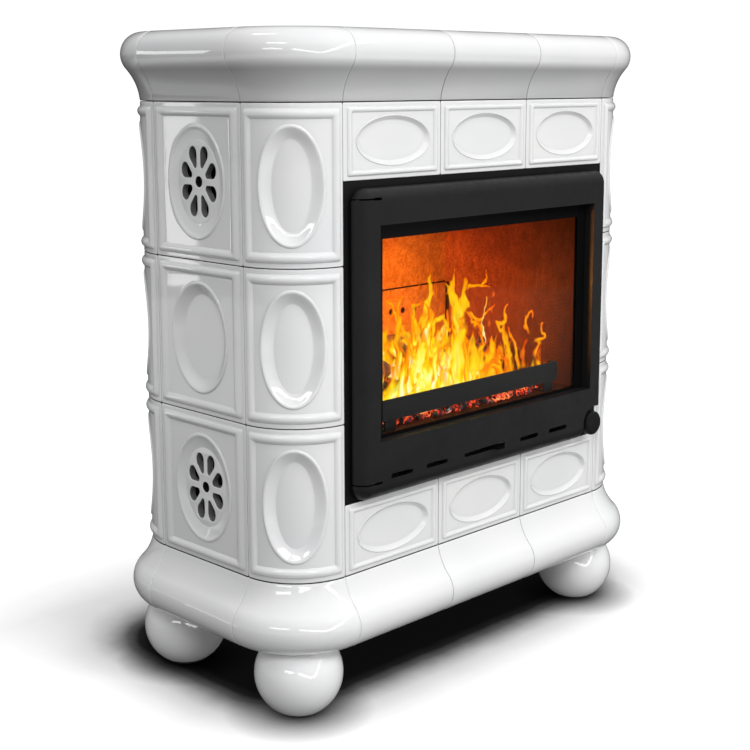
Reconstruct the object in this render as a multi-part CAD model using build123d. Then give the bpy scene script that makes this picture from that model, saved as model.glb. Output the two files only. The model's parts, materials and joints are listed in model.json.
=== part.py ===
from build123d import *
import math
import os

# Tiled stove, millimetres, +Z up, front facing -Y.
# The body of tiles is centred on X = 0 and Y = 0 of the working frame.
# Everything is moved by Y_SHIFT at the end, so that the origin is the
# middle of the footprint at floor level, lever tab included.

# ---------------------------------------------------------------- dimensions
TILE = 220.0            # width of a flat tile
COURSE = 250.0          # height of a course of tiles
CORNER_R = 110.0        # radius of the quarter-round corner tiles
HALF_W = 1.5 * TILE + CORNER_R      # 440, tile plane at the sides
HALF_D = 0.5 * TILE + CORNER_R      # 220, tile plane at the front and back
CX, CY = HALF_W - CORNER_R, HALF_D - CORNER_R   # centre of a corner's arc

Z_FOOT = 117.0          # top of the ball feet
RING_H = 118.0          # height of the plinth ring
CORNICE_H = 112.0       # height of the cornice ring, whose roll is slimmer
Z_BODY = Z_FOOT + RING_H            # 235, bottom of the tile courses
Z_TOP_BODY = Z_BODY + 3 * COURSE    # 985, bottom of the cornice
Z_TOP = Z_TOP_BODY + CORNICE_H      # 1097, overall height
Z_MID = (Z_BODY + Z_TOP_BODY) / 2   # the plinth is drawn as a cornice and mirrored about it

JOINT = 1.0             # open vertical joint between two pieces
SHELL = 14.0            # wall of the cornice and plinth pieces
FRAME_RISE = 4.5        # raised border of a tile
DISH = 9.0              # depth of an oval dish

BALL_R = 73.0           # ball foot
BALL_Z = 67.0
FOOT_X, FOOT_Y = 370.0, 150.0
PAD_H = 3.0

INS_X = 329.5           # door surround, half width
INS_Z0, INS_Z1 = 354.4, 864.6

DOOR_X0, DOOR_X1 = -318.0, 305.0    # outer skin of the door
DOOR_Z0, DOOR_Z1 = 356.5, 853.5
DOOR_FACE = -247.5
DOOR_BACK = -224.0
SKIN_T = 3.0
GLASS_X = 277.0         # window, half width
GLASS_Z0, GLASS_Z1 = 451.0, 796.5

HINGE_X, HINGE_Y = -309.0, -229.0
HINGE_R = 3.5
TAB_U, TAB_D = 836.6, 384.0            # underside of the two hinge tabs, 1.8 thick
KNOB_X, KNOB_Z, KNOB_R = 288.0, 383.0, 22.5

SLOT_Z, SLOT_H = 391.0, 8.0
SLOTS = ((-227.5, 51.0), (-144.0, 52.0), (-22.0, 107.5), (98.8, 50.5), (181.8, 52.5))

LEVER_X, LEVER_W = 6.5, 19.0
LEVER_TIP = -262.0

FIRE_X = 275.0          # inner half width of the firebox lining
FIRE_BACK = 113.0       # front face of the back lining
FIRE_FLOOR = 450.0
LINER = 28.0
CASING = 4.0
BAFFLE_Z = 772.0
BACK_STEP_Z = 617.5
AIR_HOLE_Z, AIR_HOLE_R, AIR_HOLE_PITCH, AIR_HOLES = 573.0, 4.0, 33.0, 12

FLUE_Y = 40.0
FLUE_RI, FLUE_RO = 75.5, 78.5       # takes a 150 mm flue pipe
FLUE_TOP = 1094.0

Y_SHIFT = -(LEVER_TIP + (HALF_D + 36.0)) / 2    # 3 mm

os.makedirs("parts", exist_ok=True)
NODES = {}


# ------------------------------------------------------------------- helpers
def box(x0, x1, y0, y1, z0, z1):
    return Pos((x0 + x1) / 2, (y0 + y1) / 2, (z0 + z1) / 2) * Box(x1 - x0, y1 - y0, z1 - z0)


def cyl_z(x, y, z0, z1, r):
    return Pos(x, y, (z0 + z1) / 2) * Cylinder(r, z1 - z0)


def cyl_y(x, z, y0, y1, r):
    return Pos(x, (y0 + y1) / 2, z) * Rot(90, 0, 0) * Cylinder(r, y1 - y0)


def mx(s):
    return mirror(s, about=Plane.YZ)


def my(s):
    return mirror(s, about=Plane.XZ)


def save(name, *solids):
    flat = []
    for s in solids:
        flat.extend(s.solids())
    flat = [Pos(0, Y_SHIFT, 0) * s for s in flat]
    NODES[name] = flat
    shape = flat[0] if len(flat) == 1 else Compound(children=flat)
    export_step(shape, f"parts/{name}.step")


# --------------------------------------------------------------------- tiles
# A flat tile: front face at y = 0 looking to -y, centred in x, standing on z = 0.
def oval_cut(a, b, zc, depth, slope):
    front = Plane(origin=(0, 0, zc), x_dir=(1, 0, 0), z_dir=(0, 1, 0))
    o = front.offset(-0.5) * Ellipse(a + slope * 0.5 / depth, b + slope * 0.5 / depth)
    i = front.offset(depth) * Ellipse(a - slope, b - slope)
    return loft([o, i])


def flat_tile(h, a, b, edge, band, depth, slope, vent=False):
    w = TILE - JOINT
    t = 14.0
    s = box(-w / 2, w / 2, 0, t, 0, h)
    ring = box(-w / 2 + edge, w / 2 - edge, -FRAME_RISE, 0.5, edge, h - edge)
    ring = ring - box(-w / 2 + edge + band, w / 2 - edge - band, -FRAME_RISE - 1, 1, edge + band, h - edge - band)
    ring = chamfer(ring.faces().sort_by(Axis.Y)[0].edges(), 1.8)
    s = s + ring
    # rear rim that the tile is held by
    rim = box(-w / 2 + 8, w / 2 - 8, t, t + 8, 8, h - 8) - box(-w / 2 + 20, w / 2 - 20, t - 1, t + 9, 20, h - 20)
    s = s + rim
    s = s - oval_cut(a, b, h / 2, depth, slope)
    if vent:
        front = Plane(origin=(0, 0, h / 2), x_dir=(1, 0, 0), z_dir=(0, -1, 0))
        holes = Circle(9.2)
        for sx in (1, -1):
            for sz in (1, -1):
                for vx, vz, l0, l1 in ((14.1, 43.3, 28.0, 45.5), (34.1, 17.9, 23.7, 38.5)):
                    ang = math.degrees(math.atan2(sz * vz, sx * vx))
                    pair = Pos(l0, 0) * Circle(4.8) + Pos(l1, 0) * Circle(11.0)
                    holes = holes + Rot(0, 0, ang) * make_hull(pair.edges())
        s = s - extrude(front * holes, 30.0, both=True)
    return s


side_plain = flat_tile(COURSE, 71.6, 92.0, 6.0, 17.0, DISH, 16.0)
side_vent = flat_tile(COURSE, 71.6, 92.0, 6.0, 17.0, 5.0, 18.0, vent=True)
front_low = flat_tile(INS_Z0 - 0.4 - Z_BODY - 1.0, 83.5, 40.0, 7.0, 10.0, 7.0, 9.0)
front_top = flat_tile(Z_TOP_BODY - INS_Z1 - 0.4, 83.5, 40.0, 7.0, 10.0, 7.0, 9.0)


def to_left(s, z):
    return Pos(-HALF_W, 0, z) * Rot(0, 0, -90) * s


def to_right(s, z):
    return Pos(HALF_W, 0, z) * Rot(0, 0, 90) * s


save("side_vent_tiles", to_left(side_vent, Z_BODY), to_left(side_vent, Z_BODY + 2 * COURSE),
     to_right(side_vent, Z_BODY), to_right(side_vent, Z_BODY + 2 * COURSE))
save("side_plain_tiles", to_left(side_plain, Z_BODY + COURSE), to_right(side_plain, Z_BODY + COURSE))
save("front_lower_tiles", *[Pos(k * TILE, -HALF_D, Z_BODY) * front_low for k in (-1, 0, 1)])
save("front_upper_tiles", *[Pos(k * TILE, -HALF_D, INS_Z1 + 0.4) * front_top for k in (-1, 0, 1)])


# quarter-round corner tile about the origin, in the quadrant x < 0, y < 0
def wedge(a0, a1, r, z0, z1):
    p = [(0, 0)] + [(r * math.cos(math.radians(a)), r * math.sin(math.radians(a))) for a in (a0, (a0 + a1) / 2, a1)]
    return Pos(0, 0, z0) * extrude(make_face(Polyline(*p, close=True)), z1 - z0)


def tube(ro, ri, z0, z1):
    return cyl_z(0, 0, z0, z1, ro) - cyl_z(0, 0, z0 - 1, z1 + 1, ri)


quadrant = box(-200, -JOINT / 2, -200, -JOINT / 2, 0, COURSE)
corner = tube(CORNER_R, CORNER_R - 16, 0, COURSE) & quadrant
rise = tube(CORNER_R + FRAME_RISE, CORNER_R - 1, 6, COURSE - 6) & wedge(183.3, 266.7, 200, 0, COURSE)
rise = rise - (tube(CORNER_R + 10, CORNER_R - 2, 23, COURSE - 23) & wedge(191.5, 258.5, 250, 0, COURSE))
corner = corner + rise
dish_plane = Plane(origin=(-20, -20, COURSE / 2), x_dir=(-1, 1, 0), z_dir=(-1, -1, 0))
dish_cut = extrude(dish_plane * Ellipse(52.0, 93.5), 140.0) - cyl_z(0, 0, -1, COURSE + 1, CORNER_R - 8.0)
corner = corner - dish_cut
corner_fl = [Pos(-CX, -CY, Z_BODY + k * COURSE) * corner for k in range(3)]
save("corner_tiles_front_left", *corner_fl)
save("corner_tiles_front_right", *[mx(s) for s in corner_fl])
save("corner_tiles_back_left", *[my(s) for s in corner_fl])
save("corner_tiles_back_right", *[mx(my(s)) for s in corner_fl])

# -------------------------------------------------- cornice and plinth rings
# Section: u outwards from the tile plane, v up from the tiles.
# A hollow of radius 90 starts at the tiles and runs into a roll.
R1 = 90.0


class Roll:
    def __init__(self, centre, radius):
        self.c2, self.r2, self.height = centre, radius, centre[1] + radius
        far = math.hypot(*centre)
        q = (far ** 2 + (R1 + radius) ** 2 - R1 ** 2) / (2 * (R1 + radius) * far)
        # direction in which hollow and roll meet
        self.meet = math.degrees(math.atan2(centre[1], centre[0]) + math.acos(q))
        d = (math.cos(math.radians(self.meet)), math.sin(math.radians(self.meet)))
        self.c1 = (centre[0] - (R1 + radius) * d[0], centre[1] - (R1 + radius) * d[1])


PLINTH_ROLL = Roll((-6.0, RING_H - 42.0), 42.0)
CORNICE_ROLL = Roll((-6.5, CORNICE_H - 36.5), 36.5)


def on(c, r, a):
    return (c[0] + r * math.cos(math.radians(a)), c[1] + r * math.sin(math.radians(a)))


def section(base, lip, roll):
    c1, c2, r2, top = roll.c1, roll.c2, roll.r2, roll.height
    a0 = 180.0 - math.degrees(math.asin(-c1[1] / R1))
    ri = R1 + SHELL
    a1 = 180.0 - math.degrees(math.asin(-c1[1] / ri))
    am, at2 = roll.meet, roll.meet - 180.0
    e = [
        ThreePointArc(on(c1, R1, a0), on(c1, R1, (a0 + am) / 2), on(c1, R1, am)),
        ThreePointArc(on(c2, r2, at2), on(c2, r2, (at2 + 90) / 2), on(c2, r2, 90)),
        Line(on(c2, r2, 90), (lip, top)),
        Line((lip, top), (lip, top - SHELL)),
        Line((lip, top - SHELL), on(c2, r2 - SHELL, 90)),
        ThreePointArc(on(c2, r2 - SHELL, 90), on(c2, r2 - SHELL, (at2 + 90) / 2), on(c2, r2 - SHELL, at2)),
        ThreePointArc(on(c1, ri, am), on(c1, ri, (a1 + am) / 2), on(c1, ri, a1)),
        Line(on(c1, ri, a1), on(c1, R1, a0)),
    ]
    return base * make_face(e)


def straight(length, roll, lip=-60.0):
    # along X, centred, out to -Y
    p = Plane(origin=(length / 2, -HALF_D, Z_TOP_BODY), x_dir=(0, -1, 0), z_dir=(-1, 0, 0))
    return extrude(section(p, lip, roll), length)


def round_corner(lip, roll):
    p = Plane(origin=(-CORNER_R, 0, 0), x_dir=(-1, 0, 0), z_dir=(0, 1, 0))
    s = revolve(section(p, lip, roll), Axis.Z, 90)
    s = s & box(-300, -JOINT / 2, -300, -JOINT / 2, -5, roll.height + 5)
    return Pos(-CX, -CY, Z_TOP_BODY) * s


cor_c = round_corner(-60.0, CORNICE_ROLL)
cor_p = round_corner(-80.0, PLINTH_ROLL)


def quarter(s):
    return [s, mx(s), my(s), mx(my(s))]


def flip(s):
    return mirror(s, about=Plane.XY.offset(Z_MID))


def ring(st):
    front = [Pos(k * TILE, 0, 0) * st for k in (-1, 0, 1)]
    side = Pos(-HALF_W + HALF_D, 0, 0) * Rot(0, 0, -90) * st
    return front, [my(s) for s in front], [side, mx(side)]


front_ring, back_ring, side_rings = ring(straight(TILE - JOINT, CORNICE_ROLL))
save("cornice_front_tiles", *front_ring)
save("cornice_back_tiles", *back_ring)
save("cornice_side_tiles", *side_rings)
save("cornice_corner_tiles", *quarter(cor_c))
front_ring, back_ring, side_rings = ring(straight(TILE - JOINT, PLINTH_ROLL))
save("plinth_front_tiles", *[flip(s) for s in front_ring])
save("plinth_back_tiles", *[flip(s) for s in back_ring])
save("plinth_side_tiles", *[flip(s) for s in side_rings])
bolt_hole = cyl_z(-FOOT_X, -FOOT_Y, Z_FOOT - 5, Z_FOOT + SHELL + 5, 7.0)
save("plinth_corner_tiles", *quarter(flip(cor_p) - bolt_hole))

# ---------------------------------------------------------------------- feet
ball = Pos(-FOOT_X, -FOOT_Y, BALL_Z) * Sphere(BALL_R)
ball = ball & box(-FOOT_X - 90, -FOOT_X + 90, -FOOT_Y - 90, -FOOT_Y + 90, PAD_H, Z_FOOT)
ball = ball - cyl_z(-FOOT_X, -FOOT_Y, 0, 130, 6.4) - cyl_z(-FOOT_X, -FOOT_Y, PAD_H, 16, 12.0)
for nm, s in zip(("front_left", "front_right", "back_left", "back_right"), (ball, mx(ball), my(ball), mx(my(ball)))):
    save("foot_" + nm, s)
pad = cyl_z(-FOOT_X, -FOOT_Y, 0, PAD_H, 32.0)
save("foot_pads", *quarter(pad))
hexa = Pos(-FOOT_X, -FOOT_Y, PAD_H + 1) * extrude(RegularPolygon(10.0, 6), 8.0)
leg_bolt = cyl_z(-FOOT_X, -FOOT_Y, PAD_H + 9, 150.0, 6.0) + hexa
save("leg_bolts", *quarter(leg_bolt))

# -------------------------------------------------------------- inner frame
Z_BF0, Z_BF1 = Z_FOOT + SHELL, Z_FOOT + SHELL + 6.0     # 131 to 137
corner_plate = box(-400, -345, -180, -125, Z_BF0, Z_BF1) - cyl_z(-FOOT_X, -FOOT_Y, Z_BF0 - 1, Z_BF1 + 1, 6.2)
fb = box(-345, 345, -205, -125, Z_BF0, Z_BF1)
sb = box(-425, -355, -125, 125, Z_BF0, Z_BF1)
save("base_frame", fb, my(fb), sb, mx(sb), *quarter(corner_plate))

Z_TF = Z_TOP - SHELL - 6.0      # 1077, underside of the top frame
up = box(-FOOT_X - 18, -FOOT_X + 18, -FOOT_Y - 18, -FOOT_Y + 18, Z_BF1, Z_TF)
up = up - box(-FOOT_X - 15, -FOOT_X + 15, -FOOT_Y - 15, -FOOT_Y + 15, Z_BF1 - 1, Z_TF + 1)
save("corner_uprights", *quarter(up))

rail = box(-388, -376, -132, 132, 0, 10)
rails = [Pos(0, 0, z) * rail for z in (Z_BODY + COURSE - 5, Z_BODY + 2 * COURSE - 5)]
save("side_rails", *rails, *[mx(r) for r in rails])

tfb = box(-388, 388, -168, -132, Z_TF, Z_TF + 6)
tsb = box(-388, -352, -132, 132, Z_TF, Z_TF + 6)
save("top_frame", tfb, my(tfb), tsb, mx(tsb))

lintel = box(-329, 329, -207, -150, INS_Z1 - 3.6, INS_Z1 + 0.4) + box(-352, 352, -185, -150, INS_Z1 - 3.6, INS_Z1 + 0.4)
lintel = lintel + box(-329, 329, -196, -192, INS_Z1, INS_Z1 + 28)
save("front_lintel", lintel)

Z_TP = Z_TF + 6.0
tp = box(-378, 378, -158, 158, Z_TP, Z_TP + 4)
tp = fillet(tp.edges().filter_by(Axis.Z), 48.0)
tp = tp - cyl_z(0, FLUE_Y, Z_TP - 1, Z_TP + 5, FLUE_RO + 1.0)
save("top_plate", tp)

# back panel on six brackets
bp = box(-329, 329, 212, 214, Z_BODY + 2, Z_TOP_BODY - 2)
for z in (300.0, 322.0, 344.0, 876.0, 898.0, 920.0):
    for x in (-180.0, -60.0, 60.0, 180.0):
        bp = bp - box(x - 45, x + 45, 210, 216, z - 3, z + 3)
SCREW_Z = (290.0, 610.0, 930.0)
for z in SCREW_Z:
    for x in (-312.0, 312.0):
        bp = bp - cyl_y(x, z, 210, 216, 3.2)
save("back_panel", bp)
brk = box(-352, -349, 135, 168, -15, 15) + box(-349, -300, 165, 168, -15, 15) + box(-303, -300, 168, 212, -15, 15) + box(-320, -303, 209, 212, -15, 15)
brk = brk - cyl_y(-312, 0, 205, 216, 3.2)
brks = [Pos(0, 0, z) * brk for z in SCREW_Z]
save("back_brackets", *brks, *[mx(b) for b in brks])
screws = []
for z in SCREW_Z:
    for x in (-312.0, 312.0):
        screws.append(cyl_y(x, z, 204, 214.0, 3.0) + fillet(cyl_y(x, z, 214.0, 217.5, 6.0).faces().sort_by(Axis.Y)[-1].edges(), 1.5))
save("back_panel_screws", *screws)

# ------------------------------------------------------------------- firebox
CZ0, CZ1 = 366.0, 846.0
CXO = FIRE_X + LINER + CASING   # 307
CYF, CYB = -212.0, 145.0
# welded box: every plate is a solid of its own
CI = CXO - CASING
FYI, BYI = CYF + CASING, CYB - CASING
# windows for the air that the shutter lets in
AIR_WIN = ((-120.0, 76.0), (90.0, 76.0))
AIR_Z0, AIR_Z1 = 385.0, 397.0


def bars_between(half, y0, y1, z0, z1):
    """A plate with the air windows, as one strip below, one above and the bars between."""
    ends = [-half]
    for x, w in AIR_WIN:
        ends += [x - w / 2, x + w / 2]
    ends.append(half)
    out = [box(-half, half, y0, y1, z0, AIR_Z0), box(-half, half, y0, y1, AIR_Z1, z1)]
    return out + [box(ends[k], ends[k + 1], y0, y1, AIR_Z0, AIR_Z1) for k in range(0, len(ends), 2)]


hx = [AIR_HOLE_PITCH * (k - (AIR_HOLES - 1) / 2) for k in range(AIR_HOLES)]
plate_l = box(-CXO, -CI, CYF, CYB, CZ0, CZ1)
plate_b = box(-CI, CI, BYI, CYB, CZ0 + CASING, CZ1 - CASING)
for x in hx:
    plate_b = plate_b - cyl_y(x, AIR_HOLE_Z, BYI - 1, CYB + 1, AIR_HOLE_R)
plate_d = box(-CI, CI, CYF, CYB, CZ0, CZ0 + CASING)
front = bars_between(CI, CYF, FYI, CZ0 + CASING, 440)
front += [box(-CI, -FIRE_X, CYF, FYI, 440, 808), box(FIRE_X, CI, CYF, FYI, 440, 808), box(-CI, CI, CYF, FYI, 808, CZ1 - CASING)]
# shelf under the floor bricks, open under the grate
shelf = [box(-CI, -130, FYI, BYI, 416, 420), box(130, CI, FYI, BYI, 416, 420),
         box(-130, 130, FYI, -120, 416, 420), box(-130, 130, 70, BYI, 416, 420)]
save("firebox_casing", plate_l, mx(plate_l), plate_b, plate_d, *front, *shelf)
# top plate of the box, with a ledge for the flue pipe
save("casing_top", box(-CI, CI, CYF, CYB, CZ1 - CASING, CZ1) - cyl_z(0, FLUE_Y, CZ1 - CASING - 1, CZ1 + 1, FLUE_RI - 4))

duct = box(-230, 230, CYB, CYB + 22, 380, 600) - box(-227, 227, CYB - 1, CYB + 19, 379, 597)
save("air_duct", duct)

leg = box(-260, -240, -175, -155, Z_BF1, CZ0) - box(-257.5, -242.5, -172.5, -157.5, Z_BF1 - 1, CZ0 + 1)
leg_b = box(-260, -240, 125, 145, Z_BF1, CZ0) - box(-257.5, -242.5, 127.5, 142.5, Z_BF1 - 1, CZ0 + 1)
save("insert_legs", leg, mx(leg), leg_b, mx(leg_b))

LX = FIRE_X + LINER
LY0, LY1 = CYF + CASING + 2, CYB - CASING
floor = box(-LX, LX, LY0, LY1, 420, FIRE_FLOOR)
floor = floor - box(-130, 130, -120, 70, 419, FIRE_FLOOR + 1) - box(-142, 142, -132, 82, 437, FIRE_FLOOR + 1)
save("liner_floor", floor)
side = box(-LX, -FIRE_X, LY0, LY1, FIRE_FLOOR, BAFFLE_Z)
save("liner_left", side)
save("liner_right", mx(side))
back_low = box(-FIRE_X, FIRE_X, FIRE_BACK, LY1, FIRE_FLOOR, BACK_STEP_Z)
for x in hx:
    back_low = back_low - cyl_y(x, AIR_HOLE_Z, FIRE_BACK - 1, LY1 + 1, AIR_HOLE_R)
back_up = box(-FIRE_X, FIRE_X, FIRE_BACK + 4, LY1, BACK_STEP_Z, BAFFLE_Z)
save("liner_back", back_low, back_up)
save("baffle_board", box(-LX, LX, -110, LY1, BAFFLE_Z, BAFFLE_Z + 25))

# welded grate: bars on two rails, laid on the ledge of the floor bricks
bars = []
for k in range(12):
    x = -135.5 + 271.0 / 11 * k
    bars.append(chamfer(box(x - 5.5, x + 5.5, -131, 81, 441, 451).edges().filter_by(Axis.Y).group_by(Axis.Z)[-1], 1.5))
save("grate", box(-141, 141, -131, -121, 437, 441), box(-141, 141, 71, 81, 437, 441), *bars)

pan = box(-120, 120, -108, 58, 371, 404) - box(-118.5, 118.5, -106.5, 56.5, 372.5, 410)
save("ash_pan", pan)

bar = box(-230, 230, -206, -203, 469, 504) + box(-230, -227, -203, -188, 469, 504) + box(227, 230, -203, -188, 469, 504)
foot = box(-222, -196, -203, -188, 450, 453) + box(-222, -196, -203, -200, 453, 469.5)
bar = bar + foot + mx(foot)
save("log_retainer", bar)

collar = cyl_z(0, FLUE_Y, CZ1, FLUE_TOP, FLUE_RO) - cyl_z(0, FLUE_Y, CZ1 - 1, FLUE_TOP + 1, FLUE_RI)
save("flue_collar", collar)

# ------------------------------------------------------------- door surround
SF, SB = -218.0, -215.0         # its front plate
left_bar = box(-INS_X, -300, SF, SB, INS_Z0, INS_Z1) + box(-INS_X, -INS_X + 3, SB, -208, INS_Z0, INS_Z1)
left_bar = left_bar + box(-CXO, -300, SB, CYF, CZ0, CZ1)
top_bar = box(-300, 300, SF, SB, 820, INS_Z1) + box(-300, 300, SB, -208, INS_Z1 - 3, INS_Z1)
top_bar = top_bar + box(-300, 300, SB, CYF, 820, CZ1)
low_bars = bars_between(300, SF, SB, INS_Z0, 428) + [box(-300, 300, SB, -208, INS_Z0, INS_Z0 + 3), box(-300, 300, SB, CYF, CZ0, 380)]


# hinge tabs that reach through the slits of the door skin, with holes for the pins
def tab(z):
    t = box(HINGE_X - 5.5, HINGE_X + 5.5, HINGE_Y, SF, z, z + 1.8) + cyl_z(HINGE_X, HINGE_Y, z, z + 1.8, 5.5)
    return t - cyl_z(HINGE_X, HINGE_Y, z - 1, z + 3.4, HINGE_R)


save("door_surround", left_bar, mx(left_bar), top_bar, *low_bars, tab(TAB_U), tab(TAB_D))
save("hinge_pins", cyl_z(HINGE_X, HINGE_Y, 821, TAB_U + 1.8, HINGE_R), cyl_z(HINGE_X, HINGE_Y, TAB_D, 401, HINGE_R))

save("latch_keeper", box(262, 266, -229, SF, 377, 389), box(266, 276, -229, -226.5, 377, 389))

# ---------------------------------------------------------------- air control
shutter = box(-182, 128, -220.5, -218.2, 381, 401)
for x, w in AIR_WIN:
    shutter = shutter - box(x - 12 - w / 2, x - 12 + w / 2, -222, -217, 385, 397)
save("air_shutter", shutter)
lever = box(LEVER_X - LEVER_W / 2, LEVER_X + LEVER_W / 2, LEVER_TIP, -222.5, SLOT_Z - 1.5, SLOT_Z + 1.5)
lever = fillet(lever.edges().filter_by(Axis.Z).group_by(Axis.Y)[0], 4.0)
lever_foot = box(LEVER_X - LEVER_W / 2, LEVER_X + LEVER_W / 2, -222.5, -220.5, SLOT_Z - 7, SLOT_Z + 7)
save("air_lever", lever, lever_foot)
# two guides, each a spacer and a lip that holds the shutter
GY = -218.2 - 2.6
save("shutter_guides", box(-260, 150, GY, SF, 401.3, 408), box(-260, 150, -223.2, GY, 398.5, 408),
     box(-260, 150, GY, SF, 374, 380.7), box(-260, 150, -223.2, GY, 374, 383.5))


# ---------------------------------------------------------------------- door
def tray(off):
    s = box(DOOR_X0 + off, DOOR_X1 - off, DOOR_FACE + off, DOOR_BACK + (2 if off else 0), DOOR_Z0 + off, DOOR_Z1 - off)
    s = fillet(s.edges().filter_by(Axis.Y).group_by(Axis.X)[0], 24.0 - off)
    f = s.faces().sort_by(Axis.Y)[0]
    e = [q for q in f.edges() if q.center().X < DOOR_X1 - off - 0.5]
    return fillet(e, 22.0 - off)


skin = tray(0.0) - tray(SKIN_T)
skin = skin - box(-GLASS_X, GLASS_X, -260, -200, GLASS_Z0, GLASS_Z1)
for x, w in SLOTS:
    p = Plane(origin=(x, -260, SLOT_Z), x_dir=(1, 0, 0), z_dir=(0, 1, 0))
    skin = skin - extrude(p * SlotOverall(w, SLOT_H), 30.0)
# cut-out round the knob
skin = skin - box(260, 320, -260, -200, 350, 385) - box(290, 320, -260, -200, 350, 415) - cyl_y(290, 385, -260, -200, 30.0)
# slits for the hinge tabs and notches at the two left corners
for z in (TAB_U, TAB_D):
    skin = skin - box(-330, -288, -260, -200, z - 0.4, z + 2.2) - box(-289, -273, -260, -238, z - 1.3, z + 3.0)
save("door_skin", skin)

IY0, IY1, IY2 = DOOR_FACE + SKIN_T, -228.0, -220.0
FX = 296.0
FZ0, FZ1 = 430.0, 818.0
lb = box(-FX, -GLASS_X, IY0, IY1, GLASS_Z0, GLASS_Z1) + box(-FX, -286.5, IY1, IY2, GLASS_Z0, GLASS_Z1)
tb = box(-FX, FX, IY0, IY1, GLASS_Z1, FZ1) + box(-FX, FX, IY1, IY2, 806, FZ1)
tb = tb + box(-FX, -286.5, IY1, IY2, GLASS_Z1, 806) + box(286.5, FX, IY1, IY2, GLASS_Z1, 806)
bb = box(-FX, FX, IY0, IY1, FZ0, GLASS_Z0) + box(-FX, FX, IY1, IY2, FZ0, 441.5)
bb = bb + box(-FX, -286.5, IY1, IY2, 441.5, GLASS_Z0) + box(286.5, FX, IY1, IY2, 441.5, GLASS_Z0)
# plate that carries the latch shaft, and two arms for the hinge bushes
lp = box(279, 301, -236, -227, 368.6, FZ0) - cyl_y(KNOB_X, KNOB_Z, -240, -220, 5.05)
arm_u = box(-297, -285, -232, -224, FZ1, 835)
arm_d = box(-297, -285, -232, -224, 387.8, FZ0)
save("door_inner_frame", lb, mx(lb), tb, bb, lp, arm_u, arm_d)


def bush(z0, z1):
    b = cyl_z(HINGE_X, HINGE_Y, z0, z1, 5.0) + box(HINGE_X, -297, HINGE_Y - 2, HINGE_Y + 3, z0, z1)
    return b - cyl_z(HINGE_X, HINGE_Y, z0 - 1, z1 + 1, HINGE_R + 0.05)


save("hinge_bushes", bush(822, 834), bush(388, 400))

save("door_glass", box(-282, 282, -228, -224, 446, 801.5))
clips = []
for x in (-1, 1):
    for z in (500.0, 624.0, 748.0):
        a, b = sorted((x * 274.0, x * 286.5))
        clips.append(box(a, b, -224, -221, z - 10, z + 10))
save("glass_clips", *clips)
gk = box(-296, 296, IY2, CYF - 0.3, 432, 816) - box(-287, 287, IY2 - 1, CYF + 1, 441, 807)
gk = fillet(gk.edges().filter_by(Axis.Y), 3.0)
save("door_gasket", gk)

knob = cyl_y(KNOB_X, KNOB_Z, -251.5, -237, KNOB_R)
knob = fillet(knob.faces().sort_by(Axis.Y)[0].edges(), 5.0)
knob = fillet(knob.faces().sort_by(Axis.Y)[-1].edges(), 2.0)
save("knob", knob)
shaft = cyl_y(KNOB_X, KNOB_Z, -237, -221.0, 5.0)
cam = box(KNOB_X - 4, KNOB_X + 4, -225.5, -221.5, KNOB_Z, KNOB_Z + 18) + cyl_y(KNOB_X, KNOB_Z, -225.5, -221.5, 8.0)
save("latch_shaft", shaft + cam)

print(len(NODES), "nodes,", sum(len(v) for v in NODES.values()), "solids")
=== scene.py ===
import bpy, bmesh, json, math, random
import numpy as np
from mathutils import Matrix, Vector

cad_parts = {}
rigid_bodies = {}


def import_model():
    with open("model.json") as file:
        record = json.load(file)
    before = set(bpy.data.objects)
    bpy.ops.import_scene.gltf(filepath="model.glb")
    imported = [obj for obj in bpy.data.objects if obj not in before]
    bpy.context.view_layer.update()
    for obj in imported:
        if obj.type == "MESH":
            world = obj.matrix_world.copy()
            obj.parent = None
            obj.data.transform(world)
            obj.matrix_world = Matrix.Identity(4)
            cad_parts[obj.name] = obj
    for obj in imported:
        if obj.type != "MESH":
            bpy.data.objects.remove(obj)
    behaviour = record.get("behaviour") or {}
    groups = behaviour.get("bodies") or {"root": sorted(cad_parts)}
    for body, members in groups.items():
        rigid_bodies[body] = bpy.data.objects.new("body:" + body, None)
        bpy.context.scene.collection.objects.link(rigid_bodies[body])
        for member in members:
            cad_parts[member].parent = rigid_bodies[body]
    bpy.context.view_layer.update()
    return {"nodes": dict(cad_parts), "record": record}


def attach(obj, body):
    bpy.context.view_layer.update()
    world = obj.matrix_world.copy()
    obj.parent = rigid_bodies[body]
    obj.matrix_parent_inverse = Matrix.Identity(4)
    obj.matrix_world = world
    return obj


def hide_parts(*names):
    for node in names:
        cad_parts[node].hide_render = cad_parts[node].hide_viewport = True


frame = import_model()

NODES = frame["nodes"]
MM = 0.001
YS = 3.0                    # working frame to row frame, mm
TILE, COURSE, R_C = 220.0, 250.0, 110.0
HW, HD = 440.0, 220.0
Z_BODY, Z_CORN = 235.0, 985.0
INS_Z0, INS_Z1 = 354.4, 864.6
rng = np.random.default_rng(7)


def put(o):
    bpy.context.scene.collection.objects.link(o)
    return o


def world(p):
    """Working-frame millimetres to row-frame metres."""
    p = np.asarray(p, float).reshape(-1, 3).copy()
    p[:, 1] += YS
    return p * MM


def piece(name, verts, faces, mat, body, slot=None, replaces=(), smooth=True, sharp=None, weld=False):
    me = bpy.data.meshes.new(name)
    me.from_pydata(world(verts).tolist(), [], [list(map(int, f)) for f in faces])
    me.update()
    bm = bmesh.new()
    bm.from_mesh(me)
    if weld:
        bmesh.ops.remove_doubles(bm, verts=bm.verts, dist=2e-6)
    bmesh.ops.recalc_face_normals(bm, faces=bm.faces)
    bm.to_mesh(me)
    bm.free()
    me.polygons.foreach_set("use_smooth", [smooth] * len(me.polygons))
    if sharp is not None:
        me.set_sharp_from_angle(angle=math.radians(sharp))
    me.materials.append(mat)
    o = put(bpy.data.objects.new(name, me))
    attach(o, body)
    if replaces:
        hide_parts(*replaces)
    return o


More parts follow.
